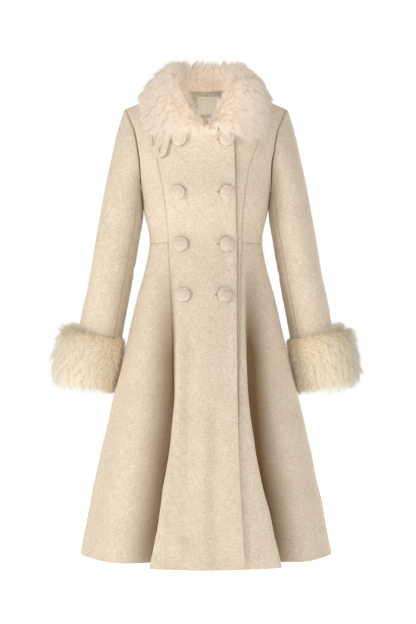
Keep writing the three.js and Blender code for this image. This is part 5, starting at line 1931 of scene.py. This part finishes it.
class COAT_OT_studio(bpy.types.Operator):
    """Make the pale floor, the soft lights, the white surroundings and the camera"""

    bl_idname = "coat.studio"
    bl_label = "Studio"

    def execute(self, context):
        settings = context.scene.coat
        # Matt white paint, which looks plain and even. Its own glow keeps it white where the coat shades it
        look = {
            "Base Color": linear("#F6F5F3"),
            "Roughness": 0.9,
            "Specular IOR Level": 0.1,
            "Emission Color": (1, 1, 1, 1),
            "Emission Strength": settings.floor_glow,
        }
        paint = finish_material(empty_material("White studio floor paint"), look)
        corners = np.array([[-1, -1], [1, -1], [1, 1], [-1, 1]]) * settings.floor_size / 2 / MM
        points = np.column_stack([corners, np.full(4, FLOOR_Z / MM)])
        new_piece("studio_floor", points, np.arange(4), paint)

        for name, place, aim, size, power, colour in SOFT_LIGHTS:
            add_light("AREA", name, place, aim, getattr(settings, power), colour, shape="SQUARE", size=size)
        cone = {"spot_size": NECK_LIGHT_ANGLE, "spot_blend": 1.0, "shadow_soft_size": NECK_LIGHT_RADIUS}
        add_light("SPOT", "Neck light", *NECK_LIGHT_LINE, settings.neck_power, "#FFF6E6", **cone)
        white_room(settings.room_light)

        camera = bpy.data.cameras.new("Camera")
        camera.lens = CAMERA_LENS
        camera.sensor_width = CAMERA_SENSOR
        standing = bpy.data.objects.new("Camera", camera)
        standing.location = CAMERA_PLACE
        standing.rotation_euler = (math.radians(90), 0, 0)
        context.collection.objects.link(standing)
        context.scene.camera = standing
        context.scene.view_settings.view_transform = "Standard"
        return {"FINISHED"}


# Settings, panel and registration


def length_setting(name, millimetres, description):
    """A length that is given here in millimetres."""
    return bpy.props.FloatProperty(
        name=name,
        description=description,
        default=millimetres * MM,
        min=0,
        unit="LENGTH",
        subtype="DISTANCE",
        precision=5,
    )


def power_setting(name, watts, description):
    """The power of a lamp."""
    return bpy.props.FloatProperty(name=name, description=description, default=watts, min=0, unit="POWER")


def share_setting(name, default, description):
    """A plain number that scales something."""
    return bpy.props.FloatProperty(name=name, description=description, default=default, min=0)


def count_setting(name, default, description):
    """A whole number of hairs."""
    return bpy.props.IntProperty(name=name, description=description, default=default, min=100)


def colour_setting(name, hex_colour, description):
    """A colour that is given here as an sRGB hex value."""
    return bpy.props.FloatVectorProperty(
        name=name,
        description=description,
        default=linear(hex_colour),
        size=4,
        min=0,
        max=1,
        subtype="COLOR",
    )


class CoatSettings(bpy.types.PropertyGroup):
    """Sizes of the cloth, fur and lights that a user may change before making the pieces"""

    cloth_thickness: length_setting("Cloth thickness", CLOTH, "Thickness of the wool with its interlining")
    seam_depth: length_setting("Seam depth", 1.7, "How far the cloth sinks in at a pressed seam")
    hair_stand: length_setting("Hair stand", 10, "How far the long hairs stand out from the skin under them")
    collar_hair: length_setting("Collar hair", 24, "Length of the collar's long hairs")
    cuff_hair: length_setting("Cuff hair", 26, "Length of the cuffs' long hairs")
    crease_strength: share_setting("Creases", 1.25, "Depth of the creases, as a share of the listed depths")
    collar_hairs: count_setting("Collar hairs", 14000, "Hairs on each third of the collar")
    cuff_hairs: count_setting("Cuff hairs", 10000, "Hairs on each cuff")
    key_power: power_setting("Key light", 48, "Power of the main light, from the upper left")
    front_power: power_setting("Front light", 17, "Power of the light from beside the camera")
    neck_power: power_setting("Neck light", 430, "Power of the narrow light into the neck")
    top_power: power_setting("Top light", 14, "Power of the light from above")
    back_power: power_setting("Back light", 58, "Power of the light behind the coat")
    room_light: share_setting("Room light", 0.36, "Strength of the even light from all round")
    floor_size: length_setting("Floor size", 8000, "Width of the square floor")
    floor_glow: share_setting("Floor glow", 0.8, "Light that the floor gives off, so that it stays white")


class CoatColours(bpy.types.PropertyGroup):
    """Colours of the wool, button covers, fur and labels that a user may change before making the pieces"""

    wool: colour_setting("Wool", "#E6DBC8", "Most of the coat's fibres")
    wool_dark: colour_setting("Dark wool", "#B6A081", "The coat's dark flecks and warp")
    wool_light: colour_setting("Light wool", "#F9F4EA", "The coat's light flecks and weft")
    wool_warm: colour_setting("Warm wool", "#E4D2C2", "The coat's broad warm blotches")
    cover: colour_setting("Button cover", "#EADACC", "Most of the button covers' fibres")
    cover_dark: colour_setting("Dark cover", "#C0A993", "The button covers' dark flecks and warp")
    cover_light: colour_setting("Light cover", "#F9F0E8", "The button covers' light flecks and weft")
    cover_warm: colour_setting("Warm cover", "#EAD8CC", "The button covers' broad blotches")
    # The roots' darker colour is partly the fur's own and partly painted shade between the locks
    collar_root: colour_setting("Collar fur root", "#B9977D", "The collar's hairs at the skin")
    collar_middle: colour_setting("Collar fur", "#E3D3C4", "The collar's hairs along their middle")
    collar_tip: colour_setting("Collar fur tip", "#F5EDE4", "The collar's hairs at their tips")
    # The roots' darker colour is partly the fur's own and partly painted shade between the locks
    cuff_root: colour_setting("Cuff fur root", "#B99D72", "The cuffs' hairs at the skin")
    cuff_middle: colour_setting("Cuff fur", "#EEE2CB", "The cuffs' hairs along their middle")
    cuff_tip: colour_setting("Cuff fur tip", "#FEFAEF", "The cuffs' hairs at their tips")
    label: colour_setting("Label", "#FFFCF2", "The woven labels")


STEPS = (
    COAT_OT_studio,
    COAT_OT_fronts,
    COAT_OT_side_panels,
    COAT_OT_back,
    COAT_OT_sleeves,
    COAT_OT_buttons,
    COAT_OT_throat_tab,
    COAT_OT_labels,
    COAT_OT_collar,
    COAT_OT_cuffs,
)


class COAT_PT_panel(bpy.types.Panel):
    """The coat's settings and colours, and the buttons that make its pieces"""

    bl_idname = "COAT_PT_panel"
    bl_label = "Long wool coat"
    bl_space_type = "VIEW_3D"
    bl_region_type = "UI"
    bl_category = "Coat"

    def draw(self, context):
        column = self.layout.column()
        for settings in (context.scene.coat, context.scene.coat_colours):
            for name in type(settings).__annotations__:
                column.prop(settings, name)
        for step in STEPS:
            column.operator(step.bl_idname)


CLASSES = (CoatSettings, CoatColours, *STEPS, COAT_PT_panel)


def register():
    """Make the coat's classes known to Blender, and give each scene its settings and colours."""
    for each in CLASSES:
        bpy.utils.register_class(each)
    bpy.types.Scene.coat = bpy.props.PointerProperty(type=CoatSettings)
    bpy.types.Scene.coat_colours = bpy.props.PointerProperty(type=CoatColours)


def unregister():
    """Undo what register did."""
    del bpy.types.Scene.coat_colours
    del bpy.types.Scene.coat
    for each in reversed(CLASSES):
        bpy.utils.unregister_class(each)


def main():
    register()
    bpy.ops.coat.studio()
    bpy.ops.coat.fronts()
    bpy.ops.coat.side_panels()
    bpy.ops.coat.back()
    bpy.ops.coat.sleeves()
    bpy.ops.coat.buttons()
    bpy.ops.coat.throat_tab()
    bpy.ops.coat.labels()
    bpy.ops.coat.collar()
    bpy.ops.coat.cuffs()


if __name__ == "__main__":
    main()
